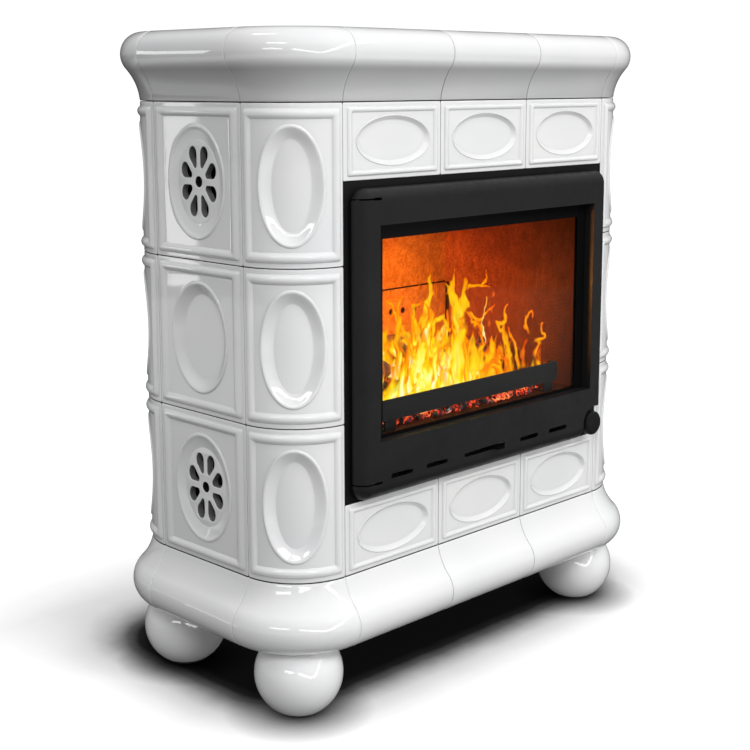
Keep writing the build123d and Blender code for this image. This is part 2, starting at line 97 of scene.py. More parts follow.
# ------------------------------------------------------------------ materials
def new_mat(name):
    m = bpy.data.materials.new(name)
    m.use_nodes = True
    nt = m.node_tree
    nt.nodes.clear()
    out = nt.nodes.new("ShaderNodeOutputMaterial")
    bsdf = nt.nodes.new("ShaderNodeBsdfPrincipled")
    nt.links.new(bsdf.outputs[0], out.inputs[0])
    return m, nt, bsdf, out


def coords(nt, scale=1.0, stretch=(1, 1, 1)):
    tc = nt.nodes.new("ShaderNodeTexCoord")
    mp = nt.nodes.new("ShaderNodeMapping")
    mp.inputs["Scale"].default_value = tuple(scale * s for s in stretch)
    nt.links.new(tc.outputs["Object"], mp.inputs[0])
    return mp.outputs[0]


def noise(nt, vec, scale, detail=3.0, rough=0.5, dist=0.0):
    n = nt.nodes.new("ShaderNodeTexNoise")
    n.inputs["Scale"].default_value = scale
    n.inputs["Detail"].default_value = detail
    n.inputs["Roughness"].default_value = rough
    n.inputs["Distortion"].default_value = dist
    nt.links.new(vec, n.inputs["Vector"])
    return n.outputs[0]


def ramp(nt, fac, stops, interp="LINEAR"):
    r = nt.nodes.new("ShaderNodeValToRGB")
    r.color_ramp.interpolation = interp
    e = r.color_ramp.elements
    while len(e) > 1:
        e.remove(e[-1])
    e[0].position, e[0].color = stops[0][0], (*stops[0][1], 1)
    for pos, col in stops[1:]:
        x = e.new(pos)
        x.color = (*col, 1)
    nt.links.new(fac, r.inputs[0])
    return r.outputs[0]


def maprange(nt, val, a, b, c, d):
    n = nt.nodes.new("ShaderNodeMapRange")
    for i, x in enumerate((a, b, c, d)):
        n.inputs[i + 1].default_value = x
    nt.links.new(val, n.inputs[0])
    return n.outputs[0]


def bump(nt, bsdf, height, strength, distance=0.001, normal=None):
    b = nt.nodes.new("ShaderNodeBump")
    b.inputs["Strength"].default_value = strength
    b.inputs["Distance"].default_value = distance
    nt.links.new(height, b.inputs["Height"])
    if normal is not None:
        nt.links.new(normal, b.inputs["Normal"])
    nt.links.new(b.outputs[0], bsdf.inputs["Normal"])
    return b.outputs[0]


def mixc(nt, fac, a, b, mode="MIX"):
    n = nt.nodes.new("ShaderNodeMix")
    n.data_type = "RGBA"
    n.blend_type = mode
    for sock, v in ((n.inputs[0], fac), (n.inputs[6], a), (n.inputs[7], b)):
        if isinstance(v, (int, float)):
            sock.default_value = v
        elif isinstance(v, tuple):
            sock.default_value = (*v, 1)
        else:
            nt.links.new(v, sock)
    return n.outputs[2]


def math_node(nt, op, a, b=None):
    n = nt.nodes.new("ShaderNodeMath")
    n.operation = op
    for k, v in ((0, a), (1, b)):
        if v is None:
            continue
        if isinstance(v, (int, float)):
            n.inputs[k].default_value = v
        else:
            nt.links.new(v, n.inputs[k])
    return n.outputs[0]


def painted_crease_shade(nt, distance, stops, samples=4):
    """Painted shade: grey that gathers in the inner corners of one piece, by ambient occlusion."""
    n = nt.nodes.new("ShaderNodeAmbientOcclusion")
    n.samples = samples
    n.only_local = True
    n.inputs["Distance"].default_value = distance
    return ramp(nt, n.outputs["AO"], stops)


def glaze_mat(name="white_glaze_look", tone=1.0, cove=None):
    """White glaze. tone: brightness of this copy, painted light. cove: (z from, z to, tone), painted shade that darkens
    the hollow of the cornice.
    """
    m, nt, b, _ = new_mat(name)
    v = coords(nt)
    cloud = noise(nt, v, 6.0, 2.0)
    speck = noise(nt, v, 900.0, 2.0, 0.6)
    c = ramp(nt, cloud, [(0.3, (0.79 * tone, 0.795 * tone, 0.80 * tone)), (0.7, (0.835 * tone, 0.835 * tone, 0.83 * tone))])
    dark = ramp(nt, speck, [(0.22, (0.80, 0.79, 0.77)), (0.27, (1, 1, 1))])
    c = mixc(nt, 1.0, c, dark, "MULTIPLY")
    # painted shade in the creases of the relief
    c = mixc(nt, 1.0, c, painted_crease_shade(nt, 0.013, [(0.30, (0.36, 0.36, 0.36)), (0.62, (0.76, 0.76, 0.76)), (0.90, (1, 1, 1))]), "MULTIPLY")
    # painted shade: the hollow under the cornice's roll is darkened down to the cove tone
    if cove:
        sep = nt.nodes.new("ShaderNodeSeparateXYZ")
        nt.links.new(v, sep.inputs[0])
        c = mixc(nt, 1.0, c, ramp(nt, maprange(nt, sep.outputs["Z"], cove[0], cove[1], 0.0, 1.0), [(0.0, (cove[2],) * 3), (1.0, (1, 1, 1))]), "MULTIPLY")
    nt.links.new(c, b.inputs["Base Color"])
    nt.links.new(maprange(nt, noise(nt, v, 35.0, 3.0), 0.3, 0.7, 0.015, 0.045), b.inputs["Roughness"])
    b.inputs["IOR"].default_value = 1.56
    b.inputs["Coat Weight"].default_value = 0.35
    b.inputs["Coat Roughness"].default_value = 0.01
    b.inputs["Subsurface Weight"].default_value = 0.0
    n1 = bump(nt, b, noise(nt, v, 12.0, 2.0), 0.06, 0.004)
    bump(nt, b, noise(nt, v, 240.0, 2.0), 0.012, 0.0006, n1)
    return m


def metal_paint(name, col, var=0.25, rough=(0.42, 0.58), grain=1400.0, strength=0.12, shine=0.5):
    m, nt, b, _ = new_mat(name)
    v = coords(nt)
    lo = tuple(max(0.0, c * (1 - var)) for c in col)
    hi = tuple(c * (1 + var) for c in col)
    cloud = noise(nt, v, 11.0, 4.0, 0.6)
    fine = noise(nt, v, grain, 2.0, 0.6)
    c = ramp(nt, cloud, [(0.3, lo), (0.7, hi)])
    d = ramp(nt, fine, [(0.35, (0.72, 0.72, 0.72)), (0.65, (1.25, 1.25, 1.25))])
    nt.links.new(mixc(nt, 0.6, c, d, "MULTIPLY"), b.inputs["Base Color"])
    nt.links.new(maprange(nt, noise(nt, v, 60.0, 4.0), 0.3, 0.7, *rough), b.inputs["Roughness"])
    b.inputs["IOR"].default_value = 1.45
    b.inputs["Specular IOR Level"].default_value = shine
    bump(nt, b, fine, strength, 0.0004)
    return m


def steel_mat(name, col, rough=(0.25, 0.42), stretch=(1, 1, 12)):
    m, nt, b, _ = new_mat(name)
    v = coords(nt, 1.0, stretch)
    s = noise(nt, v, 220.0, 4.0, 0.6)
    c = ramp(nt, s, [(0.3, tuple(x * 0.75 for x in col)), (0.7, tuple(min(1, x * 1.15) for x in col))])
    nt.links.new(c, b.inputs["Base Color"])
    b.inputs["Metallic"].default_value = 1.0
    nt.links.new(maprange(nt, s, 0.3, 0.7, *rough), b.inputs["Roughness"])
    bump(nt, b, s, 0.08, 0.0003)
    return m


def clay_mat(name, lo, hi, painted_hole_shade=False):
    """Unglazed fired clay of the tile edges and of the inside of the grilles; inside the grilles its dark grey is also
    painted shade.
    """
    m, nt, b, _ = new_mat(name)
    v = coords(nt)
    c = ramp(nt, noise(nt, v, 60.0, 4.0, 0.6), [(0.3, lo), (0.7, hi)])
    if painted_hole_shade:       # the round hole in the middle of the rosette is painted near-black all the way in: painted shade of the deep hole
        sep = nt.nodes.new("ShaderNodeSeparateXYZ")
        nt.links.new(v, sep.inputs[0])
        dy = math_node(nt, "SUBTRACT", sep.outputs[1], 0.003)
        dz = math_node(nt, "MINIMUM", math_node(nt, "ABSOLUTE", math_node(nt, "SUBTRACT", sep.outputs[2], 0.36)),
                       math_node(nt, "ABSOLUTE", math_node(nt, "SUBTRACT", sep.outputs[2], 0.86)))
        near = math_node(nt, "LESS_THAN", math_node(nt, "ADD", math_node(nt, "MULTIPLY", dy, dy), math_node(nt, "MULTIPLY", dz, dz)), 0.0115 ** 2)
        c = mixc(nt, near, c, (0.006, 0.006, 0.006))
    grit = noise(nt, v, 1500.0, 2.0, 0.6)
    nt.links.new(mixc(nt, 0.5, c, ramp(nt, grit, [(0.35, (0.7, 0.7, 0.7)), (0.65, (1.25, 1.25, 1.25))]), "MULTIPLY"), b.inputs["Base Color"])
    b.inputs["Roughness"].default_value = 0.85
    bump(nt, b, grit, 0.3, 0.0004)
    return m


# four copies of one glaze at different tones, as painted light: lighter on the feet and the plinth, darker on the
# cornice
MAT_GLAZE = glaze_mat("white_glaze_look", 1.035)
MAT_GLAZE_CORNICE = glaze_mat("white_glaze_cornice", 0.975, (1.034, 1.050, 0.64))
MAT_GLAZE_PLINTH = glaze_mat("white_glaze_plinth", 1.05)
MAT_GLAZE_FOOT = glaze_mat("white_glaze_foot", 1.15)
MAT_EDGE = clay_mat("tile_edge_look", (0.020, 0.019, 0.018), (0.045, 0.042, 0.038))
# inside of the grilles: unglazed clay kept dark as painted shade of the holes; True adds painted near-black shade in
# the round middle hole
MAT_INNER = clay_mat("grille_inside_look", (0.11, 0.11, 0.109), (0.19, 0.19, 0.187), True)
MAT_DOOR = metal_paint("door_black", (0.0125, 0.0125, 0.013), 0.12, (0.40, 0.52), 1500.0, 0.10, 0.30)
# surround and lever: darker copies of the door's black paint, as painted shade
MAT_SURROUND = metal_paint("surround_black", (0.0078, 0.0078, 0.0082), 0.14, (0.42, 0.56), 1500.0, 0.10, 0.18)
MAT_LEVER = metal_paint("lever_black", (0.0022, 0.0022, 0.0023), 0.2, (0.50, 0.65), 900.0, 0.20, 0.07)
MAT_CAST = metal_paint("cast_black", (0.0085, 0.0085, 0.009), 0.18, (0.45, 0.62), 700.0, 0.25, 0.22)
MAT_DARK = metal_paint("dark_steel_look", (0.016, 0.016, 0.017), 0.3, (0.5, 0.7), 500.0, 0.15, 0.25)
MAT_PANEL = metal_paint("grey_panel_look", (0.10, 0.10, 0.105), 0.2, (0.4, 0.55), 1100.0, 0.15)
MAT_ZINC = steel_mat("zinc_steel_look", (0.55, 0.56, 0.58))


def lining_mat():
    """Pressed mineral board with painted fire light: bright and warm at the back, painted shade towards the door and
    the top.
    """
    m, nt, b, out = new_mat("fire_lining_look")
    v = coords(nt)
    sep = nt.nodes.new("ShaderNodeSeparateXYZ")
    nt.links.new(v, sep.inputs[0])
    X, Y, Z = sep.outputs
    grain = noise(nt, v, 230.0, 5.0, 0.75)
    blotch = noise(nt, coords(nt, 1.0, (1.0, 1.0, 0.55)), 75.0, 4.0, 0.7)
    flake = nt.nodes.new("ShaderNodeTexVoronoi")
    flake.inputs["Scale"].default_value = 420.0
    nt.links.new(v, flake.inputs["Vector"])
    cloud = noise(nt, v, 14.0, 5.0, 0.65)
    c = ramp(nt, cloud, [(0.25, (0.22, 0.115, 0.055)), (0.75, (0.36, 0.20, 0.10))])
    c = mixc(nt, 0.85, c, ramp(nt, grain, [(0.32, (0.50, 0.42, 0.36)), (0.68, (1.45, 1.42, 1.38))]), "MULTIPLY")
    c = mixc(nt, 0.75, c, ramp(nt, blotch, [(0.32, (0.66, 0.58, 0.52)), (0.70, (1.28, 1.25, 1.2))]), "MULTIPLY")
    # painted fire light from the back corner to the door: bright at the back, painted shade towards the door
    painted_fire_light = ramp(nt, maprange(nt, Y, -0.215, 0.113, 0.0, 1.0),
                [(0.0, (0.13, 0.08, 0.07)), (0.16, (0.22, 0.14, 0.12)), (0.32, (0.27, 0.16, 0.12)), (0.47, (0.38, 0.20, 0.13)), (0.62, (0.47, 0.24, 0.17)), (0.78, (0.60, 0.33, 0.22)), (1.0, (0.95, 0.60, 0.40))])
    back = math_node(nt, "MULTIPLY", math_node(nt, "GREATER_THAN", Y, 0.1115), math_node(nt, "LESS_THAN", math_node(nt, "ABSOLUTE", X), 0.2748))
    # on the back wall the painted fire light runs across it instead: dim on the left, brighter than the board's own
    # colour on the right
    painted_fire_light = mixc(nt, back, painted_fire_light, ramp(nt, maprange(nt, X, -0.275, 0.275, 0.0, 1.0), [(0.0, (0.55, 0.38, 0.20)), (0.42, (0.62, 0.42, 0.20)), (0.66, (1.7, 1.35, 0.36)), (1.0, (1.7, 1.35, 0.36))]))
    # painted fire light low down and painted shade towards the top, along a wavy line
    ripple = maprange(nt, noise(nt, coords(nt, 1.0, (1.0, 1.0, 1.6)), 5.0, 3.0, 0.6), 0.3, 0.7, -0.03, 0.03)
    zz = math_node(nt, "ADD", Z, ripple)
    high = ramp(nt, maprange(nt, zz, 0.45, 0.80, 0.0, 1.0), [(0.0, (1.25, 1.3, 1.2)), (0.50, (1.08, 1.08, 1.08)), (0.64, (1.02, 0.98, 0.98)), (0.74, (0.84, 0.74, 0.84)), (0.88, (0.60, 0.50, 0.66)), (1.0, (0.40, 0.31, 0.44))])
    c = mixc(nt, 1.0, c, painted_fire_light, "MULTIPLY")
    c = mixc(nt, 1.0, c, high, "MULTIPLY")
    # open joint between the two back boards, and the dark gap at their lower corner
    line = math_node(nt, "LESS_THAN", math_node(nt, "ABSOLUTE", math_node(nt, "SUBTRACT", Z, 0.6176)), 0.0013)
    line = math_node(nt, "MULTIPLY", line, back)
    side = math_node(nt, "MULTIPLY", math_node(nt, "GREATER_THAN", math_node(nt, "ABSOLUTE", X), 0.2728), math_node(nt, "LESS_THAN", Z, 0.6176))
    side = math_node(nt, "MULTIPLY", side, math_node(nt, "GREATER_THAN", Y, 0.108))
    # near-black round marks at the air holes of the lower back board
    cell = math_node(nt, "SUBTRACT", math_node(nt, "FRACT", math_node(nt, "MULTIPLY", math_node(nt, "ADD", X, 0.198), 1 / 0.033)), 0.5)
    hx = math_node(nt, "MULTIPLY", cell, 0.033)
    hz = math_node(nt, "SUBTRACT", Z, 0.573)
    rr = math_node(nt, "SQRT", math_node(nt, "ADD", math_node(nt, "MULTIPLY", hx, hx), math_node(nt, "MULTIPLY", hz, hz)))
    hole = maprange(nt, rr, 0.0050, 0.0072, 1.0, 0.0)
    hole = math_node(nt, "MULTIPLY", hole, math_node(nt, "MULTIPLY", back, math_node(nt, "LESS_THAN", math_node(nt, "ABSOLUTE", X), 0.198)))
    mark = math_node(nt, "MAXIMUM", math_node(nt, "MAXIMUM", line, side), hole)
    c = mixc(nt, math_node(nt, "MULTIPLY", mark, 0.95), c, (0.008, 0.004, 0.002))
    nt.links.new(c, b.inputs["Base Color"])
    b.inputs["Roughness"].default_value = 0.9
    b.inputs["Specular IOR Level"].default_value = 0.2
    bump(nt, b, flake.outputs[0], 0.25, 0.0006)
    return m, nt, b, c


MAT_LINING = lining_mat()[0]


def rope_mat():
    m, nt, b, _ = new_mat("rope_look")
    v = coords(nt)
    w = nt.nodes.new("ShaderNodeTexWave")
    w.inputs["Scale"].default_value = 110.0
    w.inputs["Distortion"].default_value = 1.0
    nt.links.new(v, w.inputs["Vector"])
    c = ramp(nt, w.outputs["Fac"], [(0.2, (0.05, 0.05, 0.048)), (0.8, (0.20, 0.195, 0.18))])
    nt.links.new(c, b.inputs["Base Color"])
    b.inputs["Roughness"].default_value = 0.95
    bump(nt, b, w.outputs["Fac"], 0.8, 0.001)
    return m


def rubber_mat():
    m, nt, b, _ = new_mat("pad_look")
    v = coords(nt)
    nt.links.new(ramp(nt, noise(nt, v, 80.0), [(0.3, (0.02, 0.02, 0.02)), (0.7, (0.045, 0.045, 0.045))]), b.inputs["Base Color"])
    b.inputs["Roughness"].default_value = 0.85
    bump(nt, b, noise(nt, v, 600.0), 0.3, 0.0005)
    return m


def glass_mat():
    """Clear pane with a black printed border, as a position mask on the pane."""
    m, nt, b, out = new_mat("door_glass_look")
    v = coords(nt)
    b.inputs["Base Color"].default_value = (0.004, 0.004, 0.004, 1)
    nt.links.new(maprange(nt, noise(nt, v, 300.0, 2.0), 0.3, 0.7, 0.06, 0.14), b.inputs["Roughness"])
    b.inputs["Specular IOR Level"].default_value = 0.10
    tr = nt.nodes.new("ShaderNodeBsdfTransparent")
    tr.inputs[0].default_value = (0.97, 0.97, 0.965, 1)
    gl = nt.nodes.new("ShaderNodeBsdfGlossy")
    gl.inputs["Roughness"].default_value = 0.03
    lw = nt.nodes.new("ShaderNodeLayerWeight")
    pw = nt.nodes.new("ShaderNodeMath")
    pw.operation = "POWER"
    pw.inputs[1].default_value = 5.0
    nt.links.new(lw.outputs["Facing"], pw.inputs[0])
    clear = nt.nodes.new("ShaderNodeMixShader")
    nt.links.new(maprange(nt, pw.outputs[0], 0.0, 1.0, 0.003, 0.35), clear.inputs[0])
    nt.links.new(tr.outputs[0], clear.inputs[1])
    nt.links.new(gl.outputs[0], clear.inputs[2])
    sep = nt.nodes.new("ShaderNodeSeparateXYZ")
    nt.links.new(v, sep.inputs[0])

    def edge(sock, mid, half):
        d = nt.nodes.new("ShaderNodeMath")
        d.operation = "SUBTRACT"
        nt.links.new(sock, d.inputs[0])
        d.inputs[1].default_value = mid
        a = nt.nodes.new("ShaderNodeMath")
        a.operation = "ABSOLUTE"
        nt.links.new(d.outputs[0], a.inputs[0])
        return maprange(nt, a.outputs[0], half - 0.0002, half + 0.0002, 0.0, 1.0)

    gx = edge(sep.outputs["X"], 0.0, 0.253)
    gz = edge(sep.outputs["Z"], (0.772 + 0.455) / 2, (0.772 - 0.455) / 2)
    mxx = nt.nodes.new("ShaderNodeMath")
    mxx.operation = "MAXIMUM"
    nt.links.new(gx, mxx.inputs[0])
    nt.links.new(gz, mxx.inputs[1])
    mix = nt.nodes.new("ShaderNodeMixShader")
    nt.links.new(mxx.outputs[0], mix.inputs[0])
    nt.links.new(clear.outputs[0], mix.inputs[1])
    nt.links.new(b.outputs[0], mix.inputs[2])
    nt.links.new(mix.outputs[0], out.inputs[0])
    return m


MAT_ROPE, MAT_RUBBER, MAT_GLASS = rope_mat(), rubber_mat(), glass_mat()

# ------------------------------------------------------------ relief tiles
K_COR = 6


def rect_ring(hw, hh, rho, sx, sy):
    rho = max(0.25, min(rho, hw - 0.1, hh - 0.1))
    pts = []
    cs = ((hw - rho, -hh + rho, -90), (hw - rho, hh - rho, 0), (-hw + rho, hh - rho, 90), (-hw + rho, -hh + rho, 180))
    cor = []
    for cx, cy, a0 in cs:
        cor.append([(cx + rho * math.cos(math.radians(a0 + 90 * k / (K_COR - 1))), cy + rho * math.sin(math.radians(a0 + 90 * k / (K_COR - 1)))) for k in range(K_COR)])
    for i in range(4):
        a, b = cor[i - 1][-1], cor[i][0]
        n = sx if i in (0, 2) else sy
        for k in range(1, n):
            t = k / n
            pts.append((a[0] + (b[0] - a[0]) * t, a[1] + (b[1] - a[1]) * t))
        pts.extend(cor[i])
    return np.array(pts)


MOULD = ((0.0, 0.0), (0.035, 0.9), (0.08, 1.9), (0.15, 2.95), (0.24, 3.8), (0.34, 4.4), (0.46, 4.7), (0.58, 4.55), (0.70, 3.95), (0.80, 3.1), (0.88, 2.2), (0.94, 1.4), (0.98, 0.85), (1.0, 0.55))
BEAD = ((0.0, 0.52), (0.015, 0.85), (0.04, 1.45), (0.075, 1.95), (0.12, 2.25), (0.17, 2.2), (0.225, 1.75), (0.285, 0.95), (0.35, -0.1))


def tile_grid(w, h, outer, inner, oval, floor, depth, gap=(0.22, 0.55), vent=False, rise=1.0):
    """Relief tile as rings of points. Returns rows of (u, v, height) with v measured from the tile's lower edge, and faces."""
    hw, hh = w / 2 - gap[0], h / 2 - gap[1]
    sx, sy = max(10, int(w / 4.5)), max(10, int(h / 4.5))
    rings = []

    def rr(dx, dy, rho, z):
        p = rect_ring(hw - dx, hh - dy, rho, sx, sy)
        rings.append(np.column_stack([p, np.full(len(p), z)]))

    T = -14.0
    rr(0, 0, 2.4, T)
    rr(0, 0, 2.4, -6.0)
    rr(0, 0, 2.4, -1.7)
    rr(0.12, 0.12, 2.4, -0.9)
    rr(0.45, 0.45, 2.5, -0.42)
    rr(0.95, 0.95, 2.7, -0.12)
    rr(1.7, 1.7, 2.9, 0.0)
    rr(3.2, 3.2, 2.8, 0.0)
    ox, oy = outer[0] - gap[0], outer[1] - gap[1]
    ix, iy = inner[0] - gap[0], inner[1] - gap[1]
    rr(ox - 0.7, oy - 0.7, 4.0, 0.0)
    for t, z in MOULD:
        rr(ox + (ix - ox) * t, oy + (iy - oy) * t, 4.2 - 2.2 * t, z * rise)
    rr(ix + 0.9, iy + 0.9, 2.0, 0.5)
    base = rings[-1][:, :2]
    a, b = oval
    th = np.arctan2(base[:, 1] / b, base[:, 0] / a)

    def ell(ea, eb, z):
        rings.append(np.column_stack([ea * np.cos(th), eb * np.sin(th), np.full(len(th), z)]))

    e0 = np.column_stack([(a + 0.8) * np.cos(th), (b + 0.8) * np.sin(th)])
    for s in (0.2, 0.45, 0.7, 0.9):
        rings.append(np.column_stack([base * (1 - s) + e0 * s, np.full(len(th), 0.5)]))
    ell(a + 0.8, b + 0.8, 0.5)
    fa, fb = floor
    for s, z in BEAD:
        ell(a + (fa - a) * s, b + (fb - b) * s, z * rise if z > 0.52 else z)
    z35 = BEAD[-1][1]
    for s in (0.42, 0.50, 0.58, 0.66, 0.74, 0.82, 0.90, 0.965, 0.99, 1.0):
        q = (s - 0.35) / 0.65
        z = z35 + (-depth - z35) * (0.42 * math.sin(q * math.pi / 2) + 0.58 * q)
        ell(a + (fa - a) * s, b + (fb - b) * s, z)
    n = len(th)
    if vent:
        ell(fa - 0.15, fb - 0.15, -depth - 1.0)
        ell(fa - 0.15, fb - 0.15, T)
    else:
        for f in (0.99, 0.97, 0.88, 0.74, 0.58, 0.42, 0.26, 0.12):
            ell(fa * f, fb * f, -depth - (0.06 if f < 0.98 else 0.02))
    P = np.vstack(rings)
    m = len(rings)
    faces = []
    for r in range(m - 1):
        i = np.arange(n)
        j = (i + 1) % n
        faces.append(np.column_stack([r * n + i, r * n + j, (r + 1) * n + j, (r + 1) * n + i]))
    faces = np.vstack(faces).tolist()
    if vent:
        r = m - 1
        faces += [[r * n + k, r * n + (k + 1) % n, (k + 1) % n, k] for k in range(n)]
    else:
        c = len(P)
        P = np.vstack([P, [[0, 0, -depth - 0.06]]])
        r = m - 1
        faces += [[r * n + k, r * n + (k + 1) % n, c] for k in range(n)]
        back = []
        for s in (0.6, 0.25):
            back.append(np.column_stack([rings[0][:, :2] * s, np.full(n, T)]))
        s0 = len(P)
        P = np.vstack([P, *back, [[0, 0, T]]])
        faces += [[(k + 1) % n, k, s0 + k, s0 + (k + 1) % n] for k in range(n)]
        faces += [[s0 + (k + 1) % n, s0 + k, s0 + n + k, s0 + n + (k + 1) % n] for k in range(n)]
        faces += [[s0 + n + (k + 1) % n, s0 + n + k, s0 + 2 * n] for k in range(n)]
    P[:, 1] += h / 2
    return P, faces


def petals(grow=0.0):
    """Outlines of the rosette: eight drops and a round hole, in mm round the oval's centre."""
    out = []
    for k in range(8):
        a = math.radians(22.5 + 45 * k)
        pts = []
        for rho, r in ((0.71, 0.195), (0.436, 0.09)):
            for t in np.linspace(0, 2 * math.pi, 41)[:-1]:
                x = rho * math.cos(a) + r * math.cos(t)
                y = rho * math.sin(a) + r * math.sin(t)
                pts.append((x * 52.0, y * 66.0))
        pts = hull(pts)
        c = pts.mean(0)
        d = pts - c
        d *= (1 + grow / np.linalg.norm(d, axis=1))[:, None]
        out.append(resample(c + d, 44))
    t = np.linspace(0, 2 * math.pi, 33)[:-1]
    out.append(np.column_stack([(9.2 + grow) * np.cos(t), (9.2 + grow) * np.sin(t)]))
    return out


def hull(pts):
    pts = sorted(set((round(x, 5), round(y, 5)) for x, y in pts))

    def half(ps):
        h = []
        for p in ps:
            while len(h) > 1 and (h[-1][0] - h[-2][0]) * (p[1] - h[-2][1]) - (h[-1][1] - h[-2][1]) * (p[0] - h[-2][0]) <= 0:
                h.pop()
            h.append(p)
        return h[:-1]

    return np.array(half(pts) + half(pts[::-1]))


def resample(p, n):
    q = np.vstack([p, p[:1]])
    L = np.concatenate([[0], np.cumsum(np.linalg.norm(np.diff(q, axis=0), axis=1))])
    t = np.linspace(0, L[-1], n + 1)[:-1]
    return np.column_stack([np.interp(t, L, q[:, 0]), np.interp(t, L, q[:, 1])])


def plate_with_holes(outer, holes, thick, bevel, res=2):
    """Filled plate with rounded edges, centred on z = 0; points in mm."""
    cu = bpy.data.curves.new("tmp_plate", "CURVE")
    cu.dimensions = "2D"
    cu.fill_mode = "BOTH"
    for ring in [outer, *holes]:
        sp = cu.splines.new("POLY")
        sp.points.add(len(ring) - 1)
        for q, (x, y) in zip(sp.points, ring):
            q.co = (x, y, 0, 1)
        sp.use_cyclic_u = True
    cu.extrude = thick / 2 - bevel
    cu.bevel_depth = bevel
    cu.bevel_resolution = res
    o = put(bpy.data.objects.new("tmp_plate", cu))
    bpy.context.view_layer.update()
    me = bpy.data.meshes.new_from_object(o.evaluated_get(bpy.context.evaluated_depsgraph_get()))
    bm = bmesh.new()
    bm.from_mesh(me)
    bmesh.ops.remove_doubles(bm, verts=bm.verts, dist=1e-3)
    P = np.array([v.co[:] for v in bm.verts])
    F = [[v.index for v in f.verts] for f in bm.faces]
    bm.free()
    bpy.data.objects.remove(o)
    bpy.data.curves.remove(cu)
    bpy.data.meshes.remove(me)
    return P, F


def flat_map(origin, right, out, z0):
    """u along `right`, v up, height along `out`."""
    o, r, n = (np.array(x, float) for x in (origin, right, out))

    def f(P):
        W = o[None, :] + P[:, :1] * r[None, :] + P[:, 2:3] * n[None, :]
        W[:, 2] = z0 + P[:, 1]
        return W

    return f


def arc_map(cx, cy, mid_deg, z0, radius=R_C):
    def f(P):
        a = math.radians(mid_deg) + P[:, 0] / radius
        rr = radius + P[:, 2]
        return np.column_stack([cx + rr * np.cos(a), cy + rr * np.sin(a), z0 + P[:, 1]])

    return f


def gather(parts):
    V, F, n = [], [], 0
    for P, faces in parts:
        V.append(P)
        F.extend([[i + n for i in f] for f in faces])
        n += len(P)
    return np.vstack(V), F


SIDE_P = tile_grid(TILE, COURSE, (6.5, 8.0), (25.5, 22.5), (72.0, 92.0), (50.0, 69.0), 8.6)
SIDE_V = tile_grid(TILE, COURSE, (6.5, 8.0), (25.5, 22.5), (72.0, 92.0), (52.0, 66.0), 4.6, vent=True)
t_ = np.linspace(0, 2 * math.pi, 97)[:-1]
G_T = 12.0
G_P, G_F = plate_with_holes(np.column_stack([51.6 * np.cos(t_), 65.6 * np.sin(t_)]), petals(0.4), G_T, 0.8, 3)
G_IDS = [1 if max(abs(G_P[i][2]) for i in f) < G_T / 2 - 0.75 else 0 for f in G_F]
G_P = G_P.copy()
G_P[:, 2] += -4.2 - G_T / 2
G_P[:, 1] += COURSE / 2


def edge_ids(P_F):
    """1 for the unglazed edge and back faces of a tile, 0 for the glazed front."""
    P, F = P_F
    n = F[0][3]
    return [1 if k < 3 * n or max(P[i][2] for i in f) < -13.9 else 0 for k, f in enumerate(F)]


def two_looks(o, ids, mat):
    o.data.materials.append(mat)
    n = len(o.data.polygons)
    assert n % len(ids) == 0, (o.name, n, len(ids))
    o.data.polygons.foreach_set("material_index", list(ids) * (n // len(ids)))


CORNER = tile_grid(172.79, COURSE, (6.2, 8.5), (21.7, 24.5), (54.2, 93.5), (33.5, 70.4), 8.6)
FL_H = INS_Z0 - 0.4 - Z_BODY - 1.0
FU_H = Z_CORN - INS_Z1 - 0.4
FRONT_L = tile_grid(TILE, FL_H, (8.0, 7.0), (19.0, 16.0), (83.7, 40.0), (77.8 - 3, 31.5), 4.6, rise=0.72)
FRONT_U = tile_grid(TILE, FU_H, (8.0, 7.0), (19.0, 16.0), (83.7, 40.0), (77.8 - 3, 31.5), 4.6, rise=0.72)


def side(P_F, sx, z0):
    P, F = P_F
    return flat_map((sx * HW, 0, 0), (0, sx, 0), (sx, 0, 0), z0)(P), F


pc = piece("side_plain_tiles_glazed", *gather([side(SIDE_P, s, Z_BODY + COURSE) for s in (-1, 1)]), MAT_GLAZE, "stove", "white_glaze", ["side_plain_tiles"])
two_looks(pc, edge_ids(SIDE_P), MAT_EDGE)
pc = piece("side_vent_tiles_glazed", *gather([side(SIDE_V, s, Z_BODY + k * COURSE) for s in (-1, 1) for k in (0, 2)]), MAT_GLAZE, "stove", "white_glaze", ["side_vent_tiles"])
two_looks(pc, edge_ids(SIDE_V), MAT_EDGE)
pc = piece("side_vent_grilles", *gather([side((G_P, G_F), s, Z_BODY + k * COURSE) for s in (-1, 1) for k in (0, 2)]), MAT_GLAZE, "stove", "white_glaze", sharp=40)
two_looks(pc, G_IDS, MAT_INNER)
for nm, sx, sy, mid in (("front_left", -1, -1, 225), ("front_right", 1, -1, 315), ("back_left", -1, 1, 135), ("back_right", 1, 1, 45)):
    parts = [(arc_map(sx * 330.0, sy * 110.0, mid, Z_BODY + k * COURSE)(CORNER[0]), CORNER[1]) for k in range(3)]
    pc = piece(f"corner_tiles_{nm}_glazed", *gather(parts), MAT_GLAZE, "stove", "white_glaze", [f"corner_tiles_{nm}"])
    two_looks(pc, edge_ids(CORNER), MAT_EDGE)
pc = piece("front_lower_tiles_glazed", *gather([(flat_map((k * TILE, -HD, 0), (1, 0, 0), (0, -1, 0), Z_BODY)(FRONT_L[0]), FRONT_L[1]) for k in (-1, 0, 1)]), MAT_GLAZE, "stove", "white_glaze", ["front_lower_tiles"])
two_looks(pc, edge_ids(FRONT_L), MAT_EDGE)
